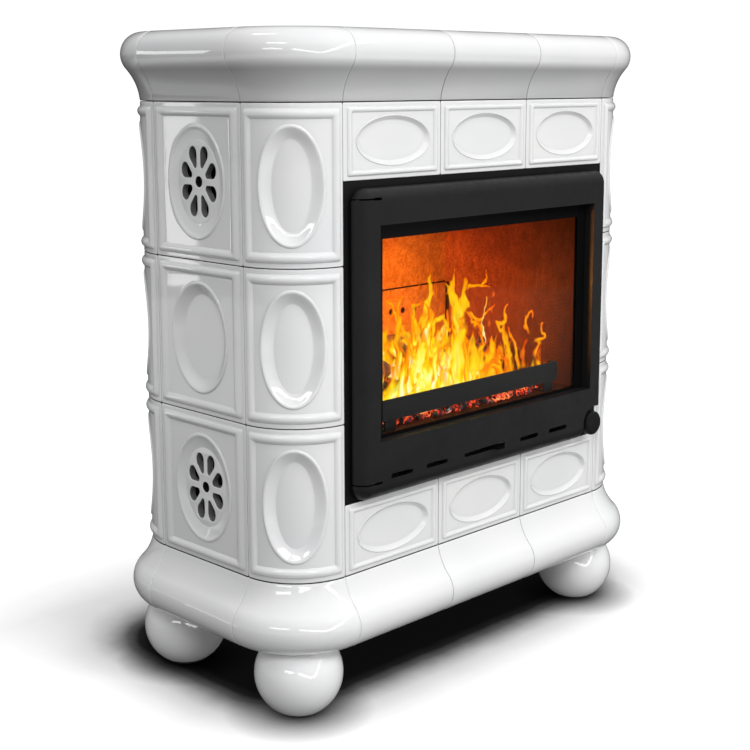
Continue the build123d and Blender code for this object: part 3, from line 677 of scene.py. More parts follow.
pc = piece("front_upper_tiles_glazed", *gather([(flat_map((k * TILE, -HD, 0), (1, 0, 0), (0, -1, 0), INS_Z1 + 0.4)(FRONT_U[0]), FRONT_U[1]) for k in (-1, 0, 1)]), MAT_GLAZE, "stove", "white_glaze", ["front_upper_tiles"])
two_looks(pc, edge_ids(FRONT_U), MAT_EDGE)

# ------------------------------------------------- cornice and plinth rings
R1, SH = 90.0, 14.0
PLINTH_ROLL, CORNICE_ROLL = ((-6.0, 76.0), 42.0), ((-6.5, 75.5), 36.5)


def arc(c, r, a0, a1, n):
    return [(c[0] + r * math.cos(math.radians(a)), c[1] + r * math.sin(math.radians(a))) for a in np.linspace(a0, a1, n)]


def ring_section(lip, roll):
    C2, R2 = roll
    RH = C2[1] + R2
    far = math.hypot(*C2)
    A_T = math.degrees(math.atan2(C2[1], C2[0]) + math.acos((far ** 2 + (R1 + R2) ** 2 - R1 ** 2) / (2 * (R1 + R2) * far)))
    C1 = (C2[0] - (R1 + R2) * math.cos(math.radians(A_T)), C2[1] - (R1 + R2) * math.sin(math.radians(A_T)))
    a0 = 180 - math.degrees(math.asin(-C1[1] / R1))
    ri = R1 + SH
    a1 = 180 - math.degrees(math.asin(-C1[1] / ri))
    at2 = A_T - 180
    out = [(-14.2, 0.5), (-2.6, 0.5), (-1.2, 0.62), (-0.45, 1.1), (0.0, 2.0)] + arc(C1, R1, a0 - 1.6, A_T, 20)[1:] + arc(C2, R2, at2, 90, 34)[1:]
    out += [(x, RH) for x in np.linspace(C2[0], lip + 2.0, 6)[1:]] + [(lip + 0.8, RH - 0.25), (lip + 0.2, RH - 0.9), (lip, RH - 2.0)]
    n_out = len(out)
    inn = [(lip, RH - SH), (C2[0], RH - SH)] + arc(C2, R2 - SH, 90, at2, 12)[1:] + arc(C1, ri, A_T, a1, 8)[1:-1]
    P = np.array(out + inn)
    # outward normals of the outer run
    d = np.gradient(P[:n_out], axis=0)
    nrm = np.column_stack([d[:, 1], -d[:, 0]])
    nrm /= np.linalg.norm(nrm, axis=1)[:, None]
    N = np.zeros_like(P)
    N[:n_out] = nrm
    N[:2] = 0
    return P, N, n_out


def ring_piece(length, roll, lip=-60.0, n_mid=4, gap=0.25):
    """Piece of the ring: rows of (s along, u outwards, v up)."""
    P, N, n_out = ring_section(lip, roll)
    S = [(gap, 1.5), (gap + 0.1, 0.85), (gap + 0.5, 0.35), (gap + 1.1, 0.09), (gap + 2.0, 0.0)]
    mids = [(x, 0.0) for x in np.linspace(gap + 2.0, length - gap - 2.0, n_mid + 2)[1:-1]]
    S = S + mids + [(length - a, o) for a, o in S[::-1]]
    rows = []
    for s, off in S:
        Q = P - N * off
        rows.append(np.column_stack([np.full(len(Q), s), Q]))
    n = len(P)
    V = np.vstack(rows)
    F = []
    for r in range(len(S) - 1):
        for k in range(n):
            F.append([r * n + k, r * n + (k + 1) % n, (r + 1) * n + (k + 1) % n, (r + 1) * n + k])
    # end caps: quads between the outer and the inner run
    inner = list(range(n_out, n))
    for r in (0, len(S) - 1):
        o = [r * n + k for k in range(n_out)]
        i = [r * n + k for k in inner[::-1]]
        a = b = 0
        while a < len(o) - 1 or b < len(i) - 1:
            fa = (a + 1) / max(1, len(o) - 1) if a < len(o) - 1 else 9
            fb = (b + 1) / max(1, len(i) - 1) if b < len(i) - 1 else 9
            if fa <= fb:
                F.append([o[a], o[a + 1], i[b]])
                a += 1
            else:
                F.append([o[a], i[b + 1], i[b]])
                b += 1
    return V, F


def ring_place(kind, V, flip):
    """Straight pieces: kind = (x0, y0, dir, out); corners: kind = (cx, cy, start angle)."""
    s, u, v = V[:, 0], V[:, 1], V[:, 2]
    z = Z_CORN + v if not flip else Z_BODY - v
    if len(kind) == 4:
        x0, y0, d, o = kind
        return np.column_stack([x0 + d[0] * s + o[0] * u, y0 + d[1] * s + o[1] * u, z])
    cx, cy, a0 = kind
    a = math.radians(a0) + s / R_C
    return np.column_stack([cx + (R_C + u) * np.cos(a), cy + (R_C + u) * np.sin(a), z])


def foot_ids(P_F):
    P, F = P_F
    return [1 if max(P[i][2] for i in f) < 1.2 and max(P[i][1] for i in f) < -0.4 else 0 for f in F]


RINGS = (("cornice", False, ring_piece(TILE, CORNICE_ROLL), ring_piece(math.pi / 2 * R_C, CORNICE_ROLL, -60.0, 34)),
         ("plinth", True, ring_piece(TILE, PLINTH_ROLL), ring_piece(math.pi / 2 * R_C, PLINTH_ROLL, -80.0, 34)))
for nm, flip, (ST_V, ST_F), (CV, CF) in RINGS:
    MG = MAT_GLAZE_PLINTH if flip else MAT_GLAZE_CORNICE
    fr = [(ring_place((k * TILE - 110.0, -HD, (1, 0), (0, -1)), ST_V, flip), ST_F) for k in (-1, 0, 1)]
    bk = [(ring_place((k * TILE - 110.0, HD, (1, 0), (0, 1)), ST_V, flip), ST_F) for k in (-1, 0, 1)]
    sd = [(ring_place((sx * HW, -110.0, (0, 1), (sx, 0)), ST_V, flip), ST_F) for sx in (-1, 1)]
    cr = [(ring_place((sx * 330.0, sy * 110.0, a0), CV, flip), CF) for sx, sy, a0 in ((-1, -1, 180), (1, -1, 270), (1, 1, 0), (-1, 1, 90))]
    pc = piece(f"{nm}_front_glazed", *gather(fr), MG, "stove", "white_glaze", [f"{nm}_front_tiles"], sharp=50)
    two_looks(pc, foot_ids((ST_V, ST_F)), MAT_EDGE)
    pc = piece(f"{nm}_back_glazed", *gather(bk), MG, "stove", "white_glaze", [f"{nm}_back_tiles"], sharp=50)
    two_looks(pc, foot_ids((ST_V, ST_F)), MAT_EDGE)
    pc = piece(f"{nm}_sides_glazed", *gather(sd), MG, "stove", "white_glaze", [f"{nm}_side_tiles"], sharp=50)
    two_looks(pc, foot_ids((ST_V, ST_F)), MAT_EDGE)
    pc = piece(f"{nm}_corners_glazed", *gather(cr), MG, "stove", "white_glaze", [f"{nm}_corner_tiles"], sharp=50)
    two_looks(pc, foot_ids((CV, CF)), MAT_EDGE)


# ------------------------------------------------------------------ ball feet
def lathe(profile, cx, cy, n=96):
    pr = np.array(profile)
    a = np.linspace(0, 2 * math.pi, n + 1)[:-1]
    V = np.vstack([np.column_stack([cx + r * np.cos(a), cy + r * np.sin(a), np.full(n, z)]) for r, z in pr])
    m = len(pr)
    F = []
    for r in range(m):
        q = (r + 1) % m
        for k in range(n):
            F.append([r * n + k, r * n + (k + 1) % n, q * n + (k + 1) % n, q * n + k])
    return V, F


ball = [(6.4, 3.0), (28.5, 3.0), (30.5, 3.3), (31.8, 4.2)]
for z in np.concatenate([np.linspace(6, 20, 7), np.linspace(24, 108, 22), [111, 113.5, 115.2]]):
    ball.append((math.sqrt(max(0.0, 73.0 ** 2 - (z - 67.0) ** 2)) - (0.5 if z > 115 else 0.0), float(z)))
ball += [(51.2, 116.5), (49.5, 117.0), (6.4, 117.0)]
for nm, sx, sy in (("front_left", -1, -1), ("front_right", 1, -1), ("back_left", -1, 1), ("back_right", 1, 1)):
    piece(f"foot_{nm}_glazed", *lathe(ball, sx * 370.0, sy * 150.0), MAT_GLAZE_FOOT, "stove", "white_glaze", [f"foot_{nm}"], sharp=50)

# ---------------------------------------------------------------------- fire
# Flames are thin closed sheets whose outline and heat come from folded noise.
def perlin(x, y, seed):
    r = np.random.default_rng(seed)
    perm = r.permutation(256)
    ang = r.random(256) * 2 * np.pi
    gx, gy = np.cos(ang), np.sin(ang)
    xi, yi = np.floor(x).astype(int), np.floor(y).astype(int)
    xf, yf = x - xi, y - yi

    def g(ix, iy, dx, dy):
        k = perm[(perm[ix & 255] + iy) & 255]
        return gx[k] * dx + gy[k] * dy

    u = xf ** 3 * (xf * (xf * 6 - 15) + 10)
    v = yf ** 3 * (yf * (yf * 6 - 15) + 10)
    a = g(xi, yi, xf, yf) * (1 - u) + g(xi + 1, yi, xf - 1, yf) * u
    b = g(xi, yi + 1, xf, yf - 1) * (1 - u) + g(xi + 1, yi + 1, xf - 1, yf - 1) * u
    return (a * (1 - v) + b * v) * 1.5


def fbm(x, y, seed, octaves=3, gain=0.5):
    s, a, t = 0.0, 1.0, 0.0
    for k in range(octaves):
        s = s + a * perlin(x * 2 ** k, y * 2 ** k, seed + 17 * k)
        t += a
        a *= gain
    return s / t


def step(a, b, x):
    t = np.clip((x - a) / (b - a), 0, 1)
    return t * t * (3 - 2 * t)


EYE = np.array([-1789.0, -1745.75, 1013.5])
# outline of the fire on the plane Y = -190: height of the tips, and how dense it burns
TIPS = np.array([(-262, 640), (-235, 650), (-211, 662), (-150, 655), (-102, 706), (-49, 696), (0, 676), (45, 694), (101, 640), (144, 632), (200, 600), (246, 555), (263, 525), (280, 480)], float)
DENSE = np.array([(-275, 0.12), (-190, 0.30), (-110, 0.28), (-40, 0.18), (20, 0.0), (80, -0.2), (140, -0.38), (270, -0.5)], float)


# single tongues on the same plane: heat, then (x, z, half width) from the root to the tip
TONGUES = (
    (0.55, (-179, 590, 8.4), (-183, 612, 6.4), (-177, 633, 4.5), (-182, 649, 3.2), (-175, 664, 2.2), (-164, 668, 1.0)),
    (0.50, (-181, 628, 3.2), (-188, 647, 2.9), (-200, 659, 2.2), (-207, 670, 0.9)),
    (0.62, (-150, 592, 9.8), (-164, 610, 7.1), (-170, 624, 3.9), (-164, 636, 1.9)),
    (0.62, (-131, 595, 11.2), (-137, 614, 7.2), (-146, 634, 4.6), (-145, 648, 2.9), (-131, 653, 2.0), (-118, 658, 1.0)),
    (0.72, (-113, 598, 11.3), (-117, 617, 6.6), (-114, 636, 6.0), (-111, 652, 5.3), (-105, 667, 5.6), (-102, 680, 3.7), (-100, 694, 2.0), (-101, 710, 0.7)),
    (0.50, (-92, 617, 6.7), (-102, 634, 4.7), (-108, 649, 2.0)),
    (0.35, (-84, 632, 2.7), (-81, 648, 1.7), (-86, 671, 1.3), (-88, 693, 0.7)),
    (0.70, (-94, 590, 5.4), (-90, 606, 4.7), (-80, 618, 4.4), (-66, 618, 4.1), (-56, 604, 3.4), (-47, 592, 1.7)),
    (0.98, (-83, 555, 10.2), (-80, 577, 11.5), (-70, 592, 9.5), (-60, 602, 4.8), (-58, 610, 1.7)),
    (0.78, (-26, 570, 15.3), (-23, 597, 16.7), (-27, 620, 15.2), (-19, 636, 14.6), (-9, 639, 9.1), (3, 633, 2.1)),
    (0.72, (-27, 626, 12.5), (-40, 644, 10.3), (-50, 659, 6.1), (-59, 672, 3.1), (-62, 679, 1.0)),
    (0.60, (-44, 655, 7.5), (-49, 667, 4.4), (-47, 683, 2.7), (-48, 700, 1.0)),
    (0.60, (-11, 638, 9.7), (-15, 655, 6.2), (-13, 671, 4.2), (-10, 682, 1.4)),
    (0.50, (-11, 663, 4.2), (6, 665, 3.1), (27, 666, 2.5), (46, 659, 1.4), (50, 658, 0.7)),
    (0.50, (27, 664, 2.5), (37, 669, 2.8), (44, 679, 1.8), (45, 692, 0.7)),
    (0.42, (33, 665, 1.8), (40, 683, 1.1), (40, 690, 0.5)),
    (1.10, (43, 564, 1.1), (39, 581, 2.1), (36, 601, 1.8), (39, 618, 1.8), (47, 634, 1.4), (48, 644, 0.7)),
    (0.50, (-4, 623, 2.8), (11, 610, 3.2), (28, 605, 2.8), (45, 620, 2.1), (63, 626, 1.1)),
    (0.52, (15, 592, 5.0), (7, 605, 3.5), (-5, 622, 1.7)),
    (0.48, (32, 585, 5.0), (24, 597, 4.3), (32, 607, 2.1)),
    (0.60, (63, 540, 8.0), (59, 558, 5.8), (61, 569, 2.2)),
    (0.55, (98, 567, 4.4), (76, 588, 3.3), (71, 594, 2.9), (89, 595, 3.7), (98, 599, 4.4), (91, 612, 3.7), (95, 620, 2.2), (101, 626, 0.7)),
    (0.62, (106, 508, 6.0), (108, 534, 6.7), (101, 555, 5.9), (98, 573, 5.2), (100, 593, 2.9)),
    (0.52, (133, 501, 5.3), (135, 521, 4.5), (127, 543, 3.7), (114, 565, 3.0), (105, 581, 1.8)),
    (0.56, (182, 503, 3.9), (178, 524, 3.5), (169, 546, 3.8), (162, 568, 4.6), (143, 585, 4.5), (127, 596, 3.0), (147, 605, 3.8), (148, 611, 2.3), (143, 619, 0.7)),
    (0.46, (162, 565, 3.8), (154, 581, 3.8), (159, 595, 3.0), (170, 602, 2.3), (175, 596, 1.5), (177, 588, 0.8)),
    (0.50, (183, 546, 3.1), (202, 548, 3.5), (208, 555, 3.1), (198, 566, 2.3), (195, 573, 1.5), (201, 579, 0.8)),
    (0.48, (185, 547, 3.1), (202, 539, 3.1), (217, 526, 2.7), (236, 522, 2.8), (245, 527, 3.2), (249, 537, 1.2)),
    (0.55, (272, 471, 1.2), (270, 490, 2.0), (268, 505, 3.6), (258, 519, 3.6), (250, 534, 1.6)),
    (0.50, (130, 645, 1.1), (144, 642, 2.6), (160, 636, 2.6), (175, 629, 1.1)),
    (0.45, (57, 644, 1.8), (59, 650, 1.4), (57, 653, 0.7)),
    (0.36, (150, 499, 3.8), (147, 520, 4.5), (151, 540, 3.0), (160, 553, 1.5)),
    (0.34, (196, 504, 3.1), (193, 522, 3.1), (197, 536, 1.9)),
    (0.40, (225, 503, 3.9), (212, 516, 3.1), (205, 529, 1.6)),
    (0.36, (241, 503, 3.2), (234, 516, 2.4), (229, 526, 1.2)),
    (0.70, (8, 514, 10.7), (12, 542, 9.2), (9, 565, 5.7), (7, 582, 2.1)),
    (0.62, (29, 511, 8.6), (33, 533, 7.2), (29, 554, 4.3), (39, 561, 1.8)),
    (0.66, (51, 510, 8.0), (55, 527, 7.3), (59, 541, 5.8), (68, 548, 2.9), (59, 564, 1.4)),
    (0.58, (77, 509, 6.6), (77, 527, 6.6), (82, 538, 3.7), (74, 550, 1.5)),
    (1.05, (-169, 505, 19.6), (-173, 530, 15.0), (-181, 548, 8.4), (-188, 565, 2.6)),
    (1.00, (-135, 505, 16.6), (-131, 535, 14.6), (-123, 561, 10.0), (-117, 579, 4.0)),
    (1.05, (-87, 506, 13.6), (-71, 529, 13.7), (-59, 546, 12.4), (-39, 563, 7.6), (-33, 576, 2.8)),
    (0.60, (-207, 517, 9.6), (-211, 542, 6.4), (-213, 558, 2.5)),
    (0.80, (-158, 533, 8.5), (-150, 557, 9.8), (-146, 572, 8.5), (-158, 588, 4.6), (-173, 595, 1.9)),
    (0.62, (-188, 584, 7.1), (-200, 593, 4.5), (-209, 586, 1.6)),
    (0.85, (-34, 512, 13.9), (-26, 542, 15.4), (-26, 570, 13.9), (-20, 589, 7.0)),
    (0.75, (-103, 547, 8.1), (-103, 566, 6.7), (-102, 583, 5.4), (-92, 584, 3.4)),
    (0.60, (-9, 514, 7.1), (-5, 539, 7.1), (-10, 556, 3.5)),
    (0.85, (-51, 514, 10.4), (-53, 534, 9.0), (-49, 550, 5.5), (-51, 565, 2.1)),
    (0.95, (-111, 507, 11.4), (-113, 524, 8.7), (-110, 537, 4.0), (-107, 548, 1.7)),
)


def to_plane(pts, y):
    """Points on the plane Y = -190 carried along the line of sight to the plane Y = y."""
    t = (y - EYE[1]) / (-190.0 - EYE[1])
    out = pts.copy()
    out[:, 0] = EYE[0] + (pts[:, 0] - EYE[0]) * t
    if pts[:, 1].max() > 10:
        out[:, 1] = EYE[2] + (pts[:, 1] - EYE[2]) * t
    return out


def spine(pts, n=7):
    """Smooth run through the points of a tongue."""
    P = np.array(pts, float)
    P = np.vstack([2 * P[0] - P[1], P, 2 * P[-1] - P[-2]])
    out = []
    for i in range(1, len(P) - 2):
        a, b, c, d = P[i - 1:i + 3]
        for k in range(n):
            t = k / n
            out.append(0.5 * (2 * b + (c - a) * t + (2 * a - 5 * b + 4 * c - d) * t * t + (3 * b - a - 3 * c + d) * t ** 3))
    out.append(P[-2])
    return np.array(out)


def flame_field(X, Z, seed, y, part, drop, thin):
    """Heat and cover on one sheet: low burning mass of folded noise, and every fifth of the tongues."""
    tips, den = to_plane(TIPS, y), to_plane(DENSE, y)
    b = np.interp(X, (-275, -200, -100, 0, 100, 200, 275), (492, 490, 488, 486, 484, 480, 478))
    low = np.interp(X, (-270, -150, -60, 0, 60, 150, 260), (0.80, 0.86, 0.88, 0.76, 0.62, 0.50, 0.42))
    H = np.maximum(16.0, (np.interp(X, tips[:, 0], tips[:, 1]) - b) * low - drop)
    h = (Z - b) / H
    hc = np.clip(h, 0, 1.3)
    wx = X + (4 + 26 * hc) * fbm(X / 95.0, Z / 85.0, seed + 1, 2) + 8 * (0.2 + hc) * fbm(X / 32.0, Z / 28.0, seed + 2, 2)
    wz = Z + 30 * fbm(X / 42.0, Z / 70.0, seed + 3, 2)
    n1 = fbm(wx / 52.0, wz / 96.0, seed + 4, 2, 0.35)
    n2 = fbm(wx / 30.0, wz / 70.0, seed + 5, 2, 0.35)
    lob = fbm(X / 34.0 + 0.25 * wx / 36.0, wz / 190.0, seed + 6, 2)
    width = 0.15 * (1.45 - 1.0 * np.clip(h, 0, 1)) * np.clip(1 + 1.2 * fbm(X / 40.0, Z / 34.0, seed + 7, 2), 0.35, 2)
    r1 = np.clip(1 - np.abs(n1) / width, 0, 1)
    r2 = np.clip(1 - np.abs(n2) / (width * 0.6), 0, 1)
    reach = 0.88 + 1.2 * lob
    env = step(reach, reach - 0.35, h) * step(-0.12, 0.0, h)
    D = np.interp(X, den[:, 0], den[:, 1]) - thin
    fill = np.clip(0.48 - 1.0 * hc + 1.25 * fbm(wx / 26.0, wz / 90.0, seed + 8, 3) + D, 0, 1)
    strands = np.maximum(r1, 0.6 * r2 * step(0.9, 0.45, h))
    keep = step(-0.30, 0.15, D + 0.25 + 0.9 * fbm(X / 60.0, Z / 60.0, seed + 12, 2))
    cover = np.maximum(step(0.0, 0.4, strands) * keep, 0.85 * step(0.1, 0.75, fill)) * env
    core = np.clip(0.34 - 1.1 * hc + 1.1 * fbm(wx / 14.0, wz / 70.0, seed + 9, 3) + 1.2 * D, 0, 1)
    heat = (0.28 + 0.34 * strands ** 1.5 + 0.28 * fill + 0.95 * core * step(0.0, 0.25, h + 0.15)) * (0.6 + 0.4 * env)
    # tongues
    fx = X + 8.0 * fbm(X / 26.0, Z / 34.0, seed + 20, 3) + 5.0 * fbm(X / 10.0, Z / 18.0, seed + 21, 2)
    fz = Z + 8.0 * fbm(X / 30.0, Z / 30.0, seed + 22, 3)
    silk = 0.5 + 0.5 * np.clip(fbm(fx / 5.0, fz / 34.0, seed + 23, 2) * 2.2, -1, 1)
    for i, row in enumerate(TONGUES):
        if i % 5 != part:
            continue
        ht, pts = row[0], np.array(row[1:])
        pts = np.column_stack([to_plane(pts[:, :2], y), pts[:, 2]])
        S = spine(pts)
        S[:, 2] = np.maximum(S[:, 2] * 1.2, 0.6)
        best = np.full(X.shape, 9.0)
        along = np.zeros(X.shape)
        lim = S[:, 2].max() + 14
        box = (X > S[:, 0].min() - lim) & (X < S[:, 0].max() + lim) & (Z > S[:, 1].min() - lim) & (Z < S[:, 1].max() + lim)
        if not box.any():
            continue
        qx, qz = fx[box], fz[box]
        bb, ba = np.full(qx.shape, 9.0), np.zeros(qx.shape)
        for k in range(len(S) - 1):
            p, d = S[k], S[k + 1] - S[k]
            L = d[0] ** 2 + d[1] ** 2 + 1e-9
            t = np.clip(((qx - p[0]) * d[0] + (qz - p[1]) * d[1]) / L, 0, 1)
            dist = np.hypot(qx - p[0] - d[0] * t, qz - p[1] - d[1] * t) / (p[2] + d[2] * t)
            m = dist < bb
            bb = np.where(m, dist, bb)
            ba = np.where(m, (k + t) / (len(S) - 1), ba)
        best[box], along[box] = bb, ba
        c = step(1.15, 0.55, best) * step(-0.02, 0.12, along + 0.02)
        # wide tongues burn at their edges and let the fire behind show through their middle
        wide = min(1.0, max(0.0, (S[:, 2].max() - 5.0) / 8.0))
        veil = 1 - 0.42 * wide * step(0.75, 0.1, best) * (1 - silk) * (1.0 if ht < 0.9 else 0.4)
        hh = ht * (0.74 + 0.34 * step(1.1, 0.25, best)) + 0.16 * (silk - 0.5)
        hh = hh * (1 - 0.25 * along ** 2)
        c = c * veil * (0.9 if ht > 0.45 else 0.6)
        heat = np.where(c > cover * 0.9, hh, heat)
        cover = np.maximum(cover, c)
    return heat, cover


HEAT_AT = np.array([0.0, 0.25, 0.42, 0.58, 0.78, 1.0, 1.3])
HEAT_COL = np.array([[0.60, 0.12, 0.0], [0.85, 0.25, 0.0], [0.98, 0.50, 0.01], [1.0, 0.71, 0.03], [1.0, 0.86, 0.10], [1.0, 0.95, 0.40], [1.0, 0.99, 0.86]]) ** 2.2


def flame_mat():
    m = bpy.data.materials.new("flame_look")
    m.use_nodes = True
    nt = m.node_tree
    nt.nodes.clear()
    out = nt.nodes.new("ShaderNodeOutputMaterial")
    mix = nt.nodes.new("ShaderNodeMixShader")
    tr = nt.nodes.new("ShaderNodeBsdfTransparent")
    em = nt.nodes.new("ShaderNodeEmission")
    at = nt.nodes.new("ShaderNodeAttribute")
    at.attribute_name = "fire_rgb"
    em.inputs["Strength"].default_value = 1.25
    nt.links.new(at.outputs["Color"], em.inputs["Color"])
    nt.links.new(at.outputs["Alpha"], mix.inputs[0])
    nt.links.new(tr.outputs[0], mix.inputs[1])
    nt.links.new(em.outputs[0], mix.inputs[2])
    nt.links.new(mix.outputs[0], out.inputs[0])
    m.cycles.emission_sampling = "NONE"
    return m


MAT_FLAME = flame_mat()
STEP = 1.6
LEVEL = 0.05


def flame_sheet(name, seed, y, x0, x1, part, drop=0.0, thin=0.0, top=738.0, strength=0.93):
    xs, zs = np.arange(x0, x1, STEP), np.arange(474.0, top, STEP)
    X, Z = np.meshgrid(xs, zs)
    heat, cover = flame_field(X, Z, seed, y, part, drop, thin)
    cover = cover * step(x0, x0 + 10, X) * step(x1, x1 - 10, X)
    nz, nx = X.shape
    wave = 6.0 * perlin(X / 70.0, Z / 90.0, seed + 40) + 3.0 * perlin(X / 24.0, Z / 34.0, seed + 41)
    V, A, F = [], [], []
    front = -np.ones((nz, nx), int)
    back = -np.ones((nz, nx), int)
    ins = cover > LEVEL

    def add(x, z, w, ht, cv, side):
        V.append((x, y + w + side * (0.1 + 0.9 * cv), z))
        A.append((ht, cv))
        return len(V) - 1

    edges = {}

    def cross(i0, j0, i1, j1):
        k = (i0, j0, i1, j1) if (i0, j0) < (i1, j1) else (i1, j1, i0, j0)
        if k not in edges:
            a, b, c, d = k
            t = (LEVEL - cover[a, b]) / (cover[c, d] - cover[a, b])
            t = min(0.98, max(0.02, t))
            V.append((X[a, b] + (X[c, d] - X[a, b]) * t, y + wave[a, b] + (wave[c, d] - wave[a, b]) * t, Z[a, b] + (Z[c, d] - Z[a, b]) * t))
            A.append((heat[a, b] + (heat[c, d] - heat[a, b]) * t, 0.0))
            edges[k] = len(V) - 1
        return edges[k]

    for i in range(nz):
        for j in range(nx):
            if ins[i, j]:
                front[i, j] = add(X[i, j], Z[i, j], wave[i, j], heat[i, j], cover[i, j], -1)
                back[i, j] = add(X[i, j], Z[i, j], wave[i, j], heat[i, j], cover[i, j], 1)
    ring = ((0, 0), (0, 1), (1, 1), (1, 0))
    for i in range(nz - 1):
        for j in range(nx - 1):
            c = [ins[i + a, j + b] for a, b in ring]
            if not any(c):
                continue
            if all(c):
                f = [front[i + a, j + b] for a, b in ring]
                g = [back[i + a, j + b] for a, b in ring]
                F.append(f)
                F.append(g[::-1])
                continue
            if c in ([True, False, True, False], [False, True, False, True]):
                # two separate corners
                for q in range(4):
                    if c[q]:
                        p, n_ = ring[q - 1], ring[(q + 1) % 4]
                        a0 = (i + ring[q][0], j + ring[q][1])
                        e1 = cross(i + p[0], j + p[1], *a0)
                        e2 = cross(*a0, i + n_[0], j + n_[1])
                        F.append([e1, front[a0], e2])
                        F.append([e2, back[a0], e1])
                continue
            f, g = [], []
            for q in range(4):
                a0 = (i + ring[q][0], j + ring[q][1])
                b0 = (i + ring[(q + 1) % 4][0], j + ring[(q + 1) % 4][1])
                if c[q]:
                    f.append(front[a0])
                    g.append(back[a0])
                if c[q] != c[(q + 1) % 4]:
                    e = cross(*a0, *b0)
                    f.append(e)
                    g.append(e)
            F.append(f)
            F.append(g[::-1])
    me = bpy.data.meshes.new(name)
    me.from_pydata(world(V).tolist(), [], [list(map(int, f)) for f in F])
    me.update()
    A = np.array(A)
    rgb = np.stack([np.interp(A[:, 0], HEAT_AT, HEAT_COL[:, k]) for k in range(3)], 1)
    # front and back face together give the cover that the field asks for
    al = 1 - np.sqrt(1 - np.clip(A[:, 1] * strength, 0, 0.985))
    col = np.column_stack([rgb, al]).astype(np.float32)
    at = me.color_attributes.new("fire_rgb", "FLOAT_COLOR", "POINT")
    at.data.foreach_set("color", col.ravel())
    me.polygons.foreach_set("use_smooth", [True] * len(me.polygons))
    me.materials.append(MAT_FLAME)
    o = put(bpy.data.objects.new(name, me))
    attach(o, "stove")
    return o


flame_sheet("flames_1", 11, -182.0, -262, 268, 0, 12, 0.22)
flame_sheet("flames_2", 57, -164.0, -262, 268, 1, 4, 0.10)
flame_sheet("flames_3", 203, -140.0, -260, 266, 2, 0, 0.02)
flame_sheet("flames_4", 331, -108.0, -256, 262, 3, 6, 0.0)
flame_sheet("flames_5", 402, -68.0, -250, 258, 4, 16, 0.0)


# ------------------------------------------------------------ coals and logs
def ico(level):
    bm = bmesh.new()
    bmesh.ops.create_icosphere(bm, subdivisions=level, radius=1.0)
    P = np.array([v.co[:] for v in bm.verts])
    F = [[v.index for v in f.verts] for f in bm.faces]
    bm.free()
    return P, F


def noise3(P, seed, scale):
    return (perlin(P[:, 0] * scale + 3.1, P[:, 1] * scale + 7.7, seed) + perlin(P[:, 1] * scale + 1.3, P[:, 2] * scale + 9.2, seed + 1) + perlin(P[:, 2] * scale + 5.9, P[:, 0] * scale + 2.4, seed + 2)) / 2


def coal_mat(name, glow, crust, threshold, scale):
    m, nt, b, _ = new_mat(name)
    v = coords(nt)
    vo = nt.nodes.new("ShaderNodeTexVoronoi")
    vo.feature = "DISTANCE_TO_EDGE"
    vo.inputs["Scale"].default_value = scale
    wv = nt.nodes.new("ShaderNodeVectorMath")
    wv.operation = "ADD"
    nz = nt.nodes.new("ShaderNodeTexNoise")
    nz.inputs["Scale"].default_value = scale * 0.8
    sc_ = nt.nodes.new("ShaderNodeVectorMath")
    sc_.operation = "SCALE"
    sc_.inputs[3].default_value = 0.012
    nt.links.new(v, nz.inputs["Vector"])
    nt.links.new(nz.outputs["Color"], sc_.inputs[0])
    nt.links.new(v, wv.inputs[0])
    nt.links.new(sc_.outputs[0], wv.inputs[1])
    nt.links.new(wv.outputs[0], vo.inputs["Vector"])
    patch = noise(nt, v, scale * 0.35, 3.0, 0.6)
    ash = noise(nt, v, scale * 1.6, 3.0, 0.7)
    c = ramp(nt, ash, [(0.40, crust), (0.58, tuple(min(1, x * 2.2 + 0.03) for x in crust)), (0.70, (0.55, 0.52, 0.50))])
    nt.links.new(c, b.inputs["Base Color"])
    b.inputs["Roughness"].default_value = 0.9
    crack = maprange(nt, vo.outputs["Distance"], 0.0, threshold, 1.0, 0.0)
    hot = maprange(nt, patch, 0.38, 0.62, 0.0, 1.0)
    mul = nt.nodes.new("ShaderNodeMath")
    mul.operation = "MULTIPLY"
    nt.links.new(crack, mul.inputs[0])
    nt.links.new(hot, mul.inputs[1])
    e = ramp(nt, mul.outputs[0], [(0.0, (0, 0, 0)), (0.2, (0.10, 0.002, 0.0)), (0.45, (0.75, 0.02, 0.004)), (0.75, (1.0, 0.16, 0.02)), (1.0, (1.0, 0.55, 0.20))])
    nt.links.new(e, b.inputs["Emission Color"])
    b.inputs["Emission Strength"].default_value = glow
    bump(nt, b, vo.outputs["Distance"], 0.5, 0.002)
    m.cycles.emission_sampling = "NONE"
    return m


MAT_EMBER = coal_mat("ember_look", 1.05, (0.02, 0.018, 0.017), 0.30, 95.0)
MAT_COAL = coal_mat("coal_look", 0.9, (0.015, 0.014, 0.014), 0.08, 60.0)
IC_P, IC_F = ico(3)


def coals(name, spots, mat, seed):
    r = np.random.default_rng(seed)
    parts = []
    for x, y, s in spots:
        q = r.normal(size=(3, 3))
        u, _, _ = np.linalg.svd(q)
        P = IC_P.copy()
        # broken faces: planes cut the lump
        for _k in range(7):
            n = r.normal(size=3)
            n /= np.linalg.norm(n)
            d = r.uniform(0.62, 0.92)
            t = P @ n - d
            P = P - np.outer(np.maximum(t, 0) * 0.92, n)
        P = P * (1 + 0.10 * noise3(P, int(r.integers(1e6)), 2.6))[:, None]
        P = (P * np.array([1.0, r.uniform(0.6, 0.9), r.uniform(0.5, 0.8)])) @ u.T * s
        z0 = P[:, 2].min()
        P = P + np.array([x, y, 450.4 - z0])
        if x > 226 and y < -150:      # beside the retainer's right foot only dark floor is seen
            continue
        parts.append((P, IC_F))
    return piece(name, *gather(parts), mat, "stove", None, (), sharp=40)


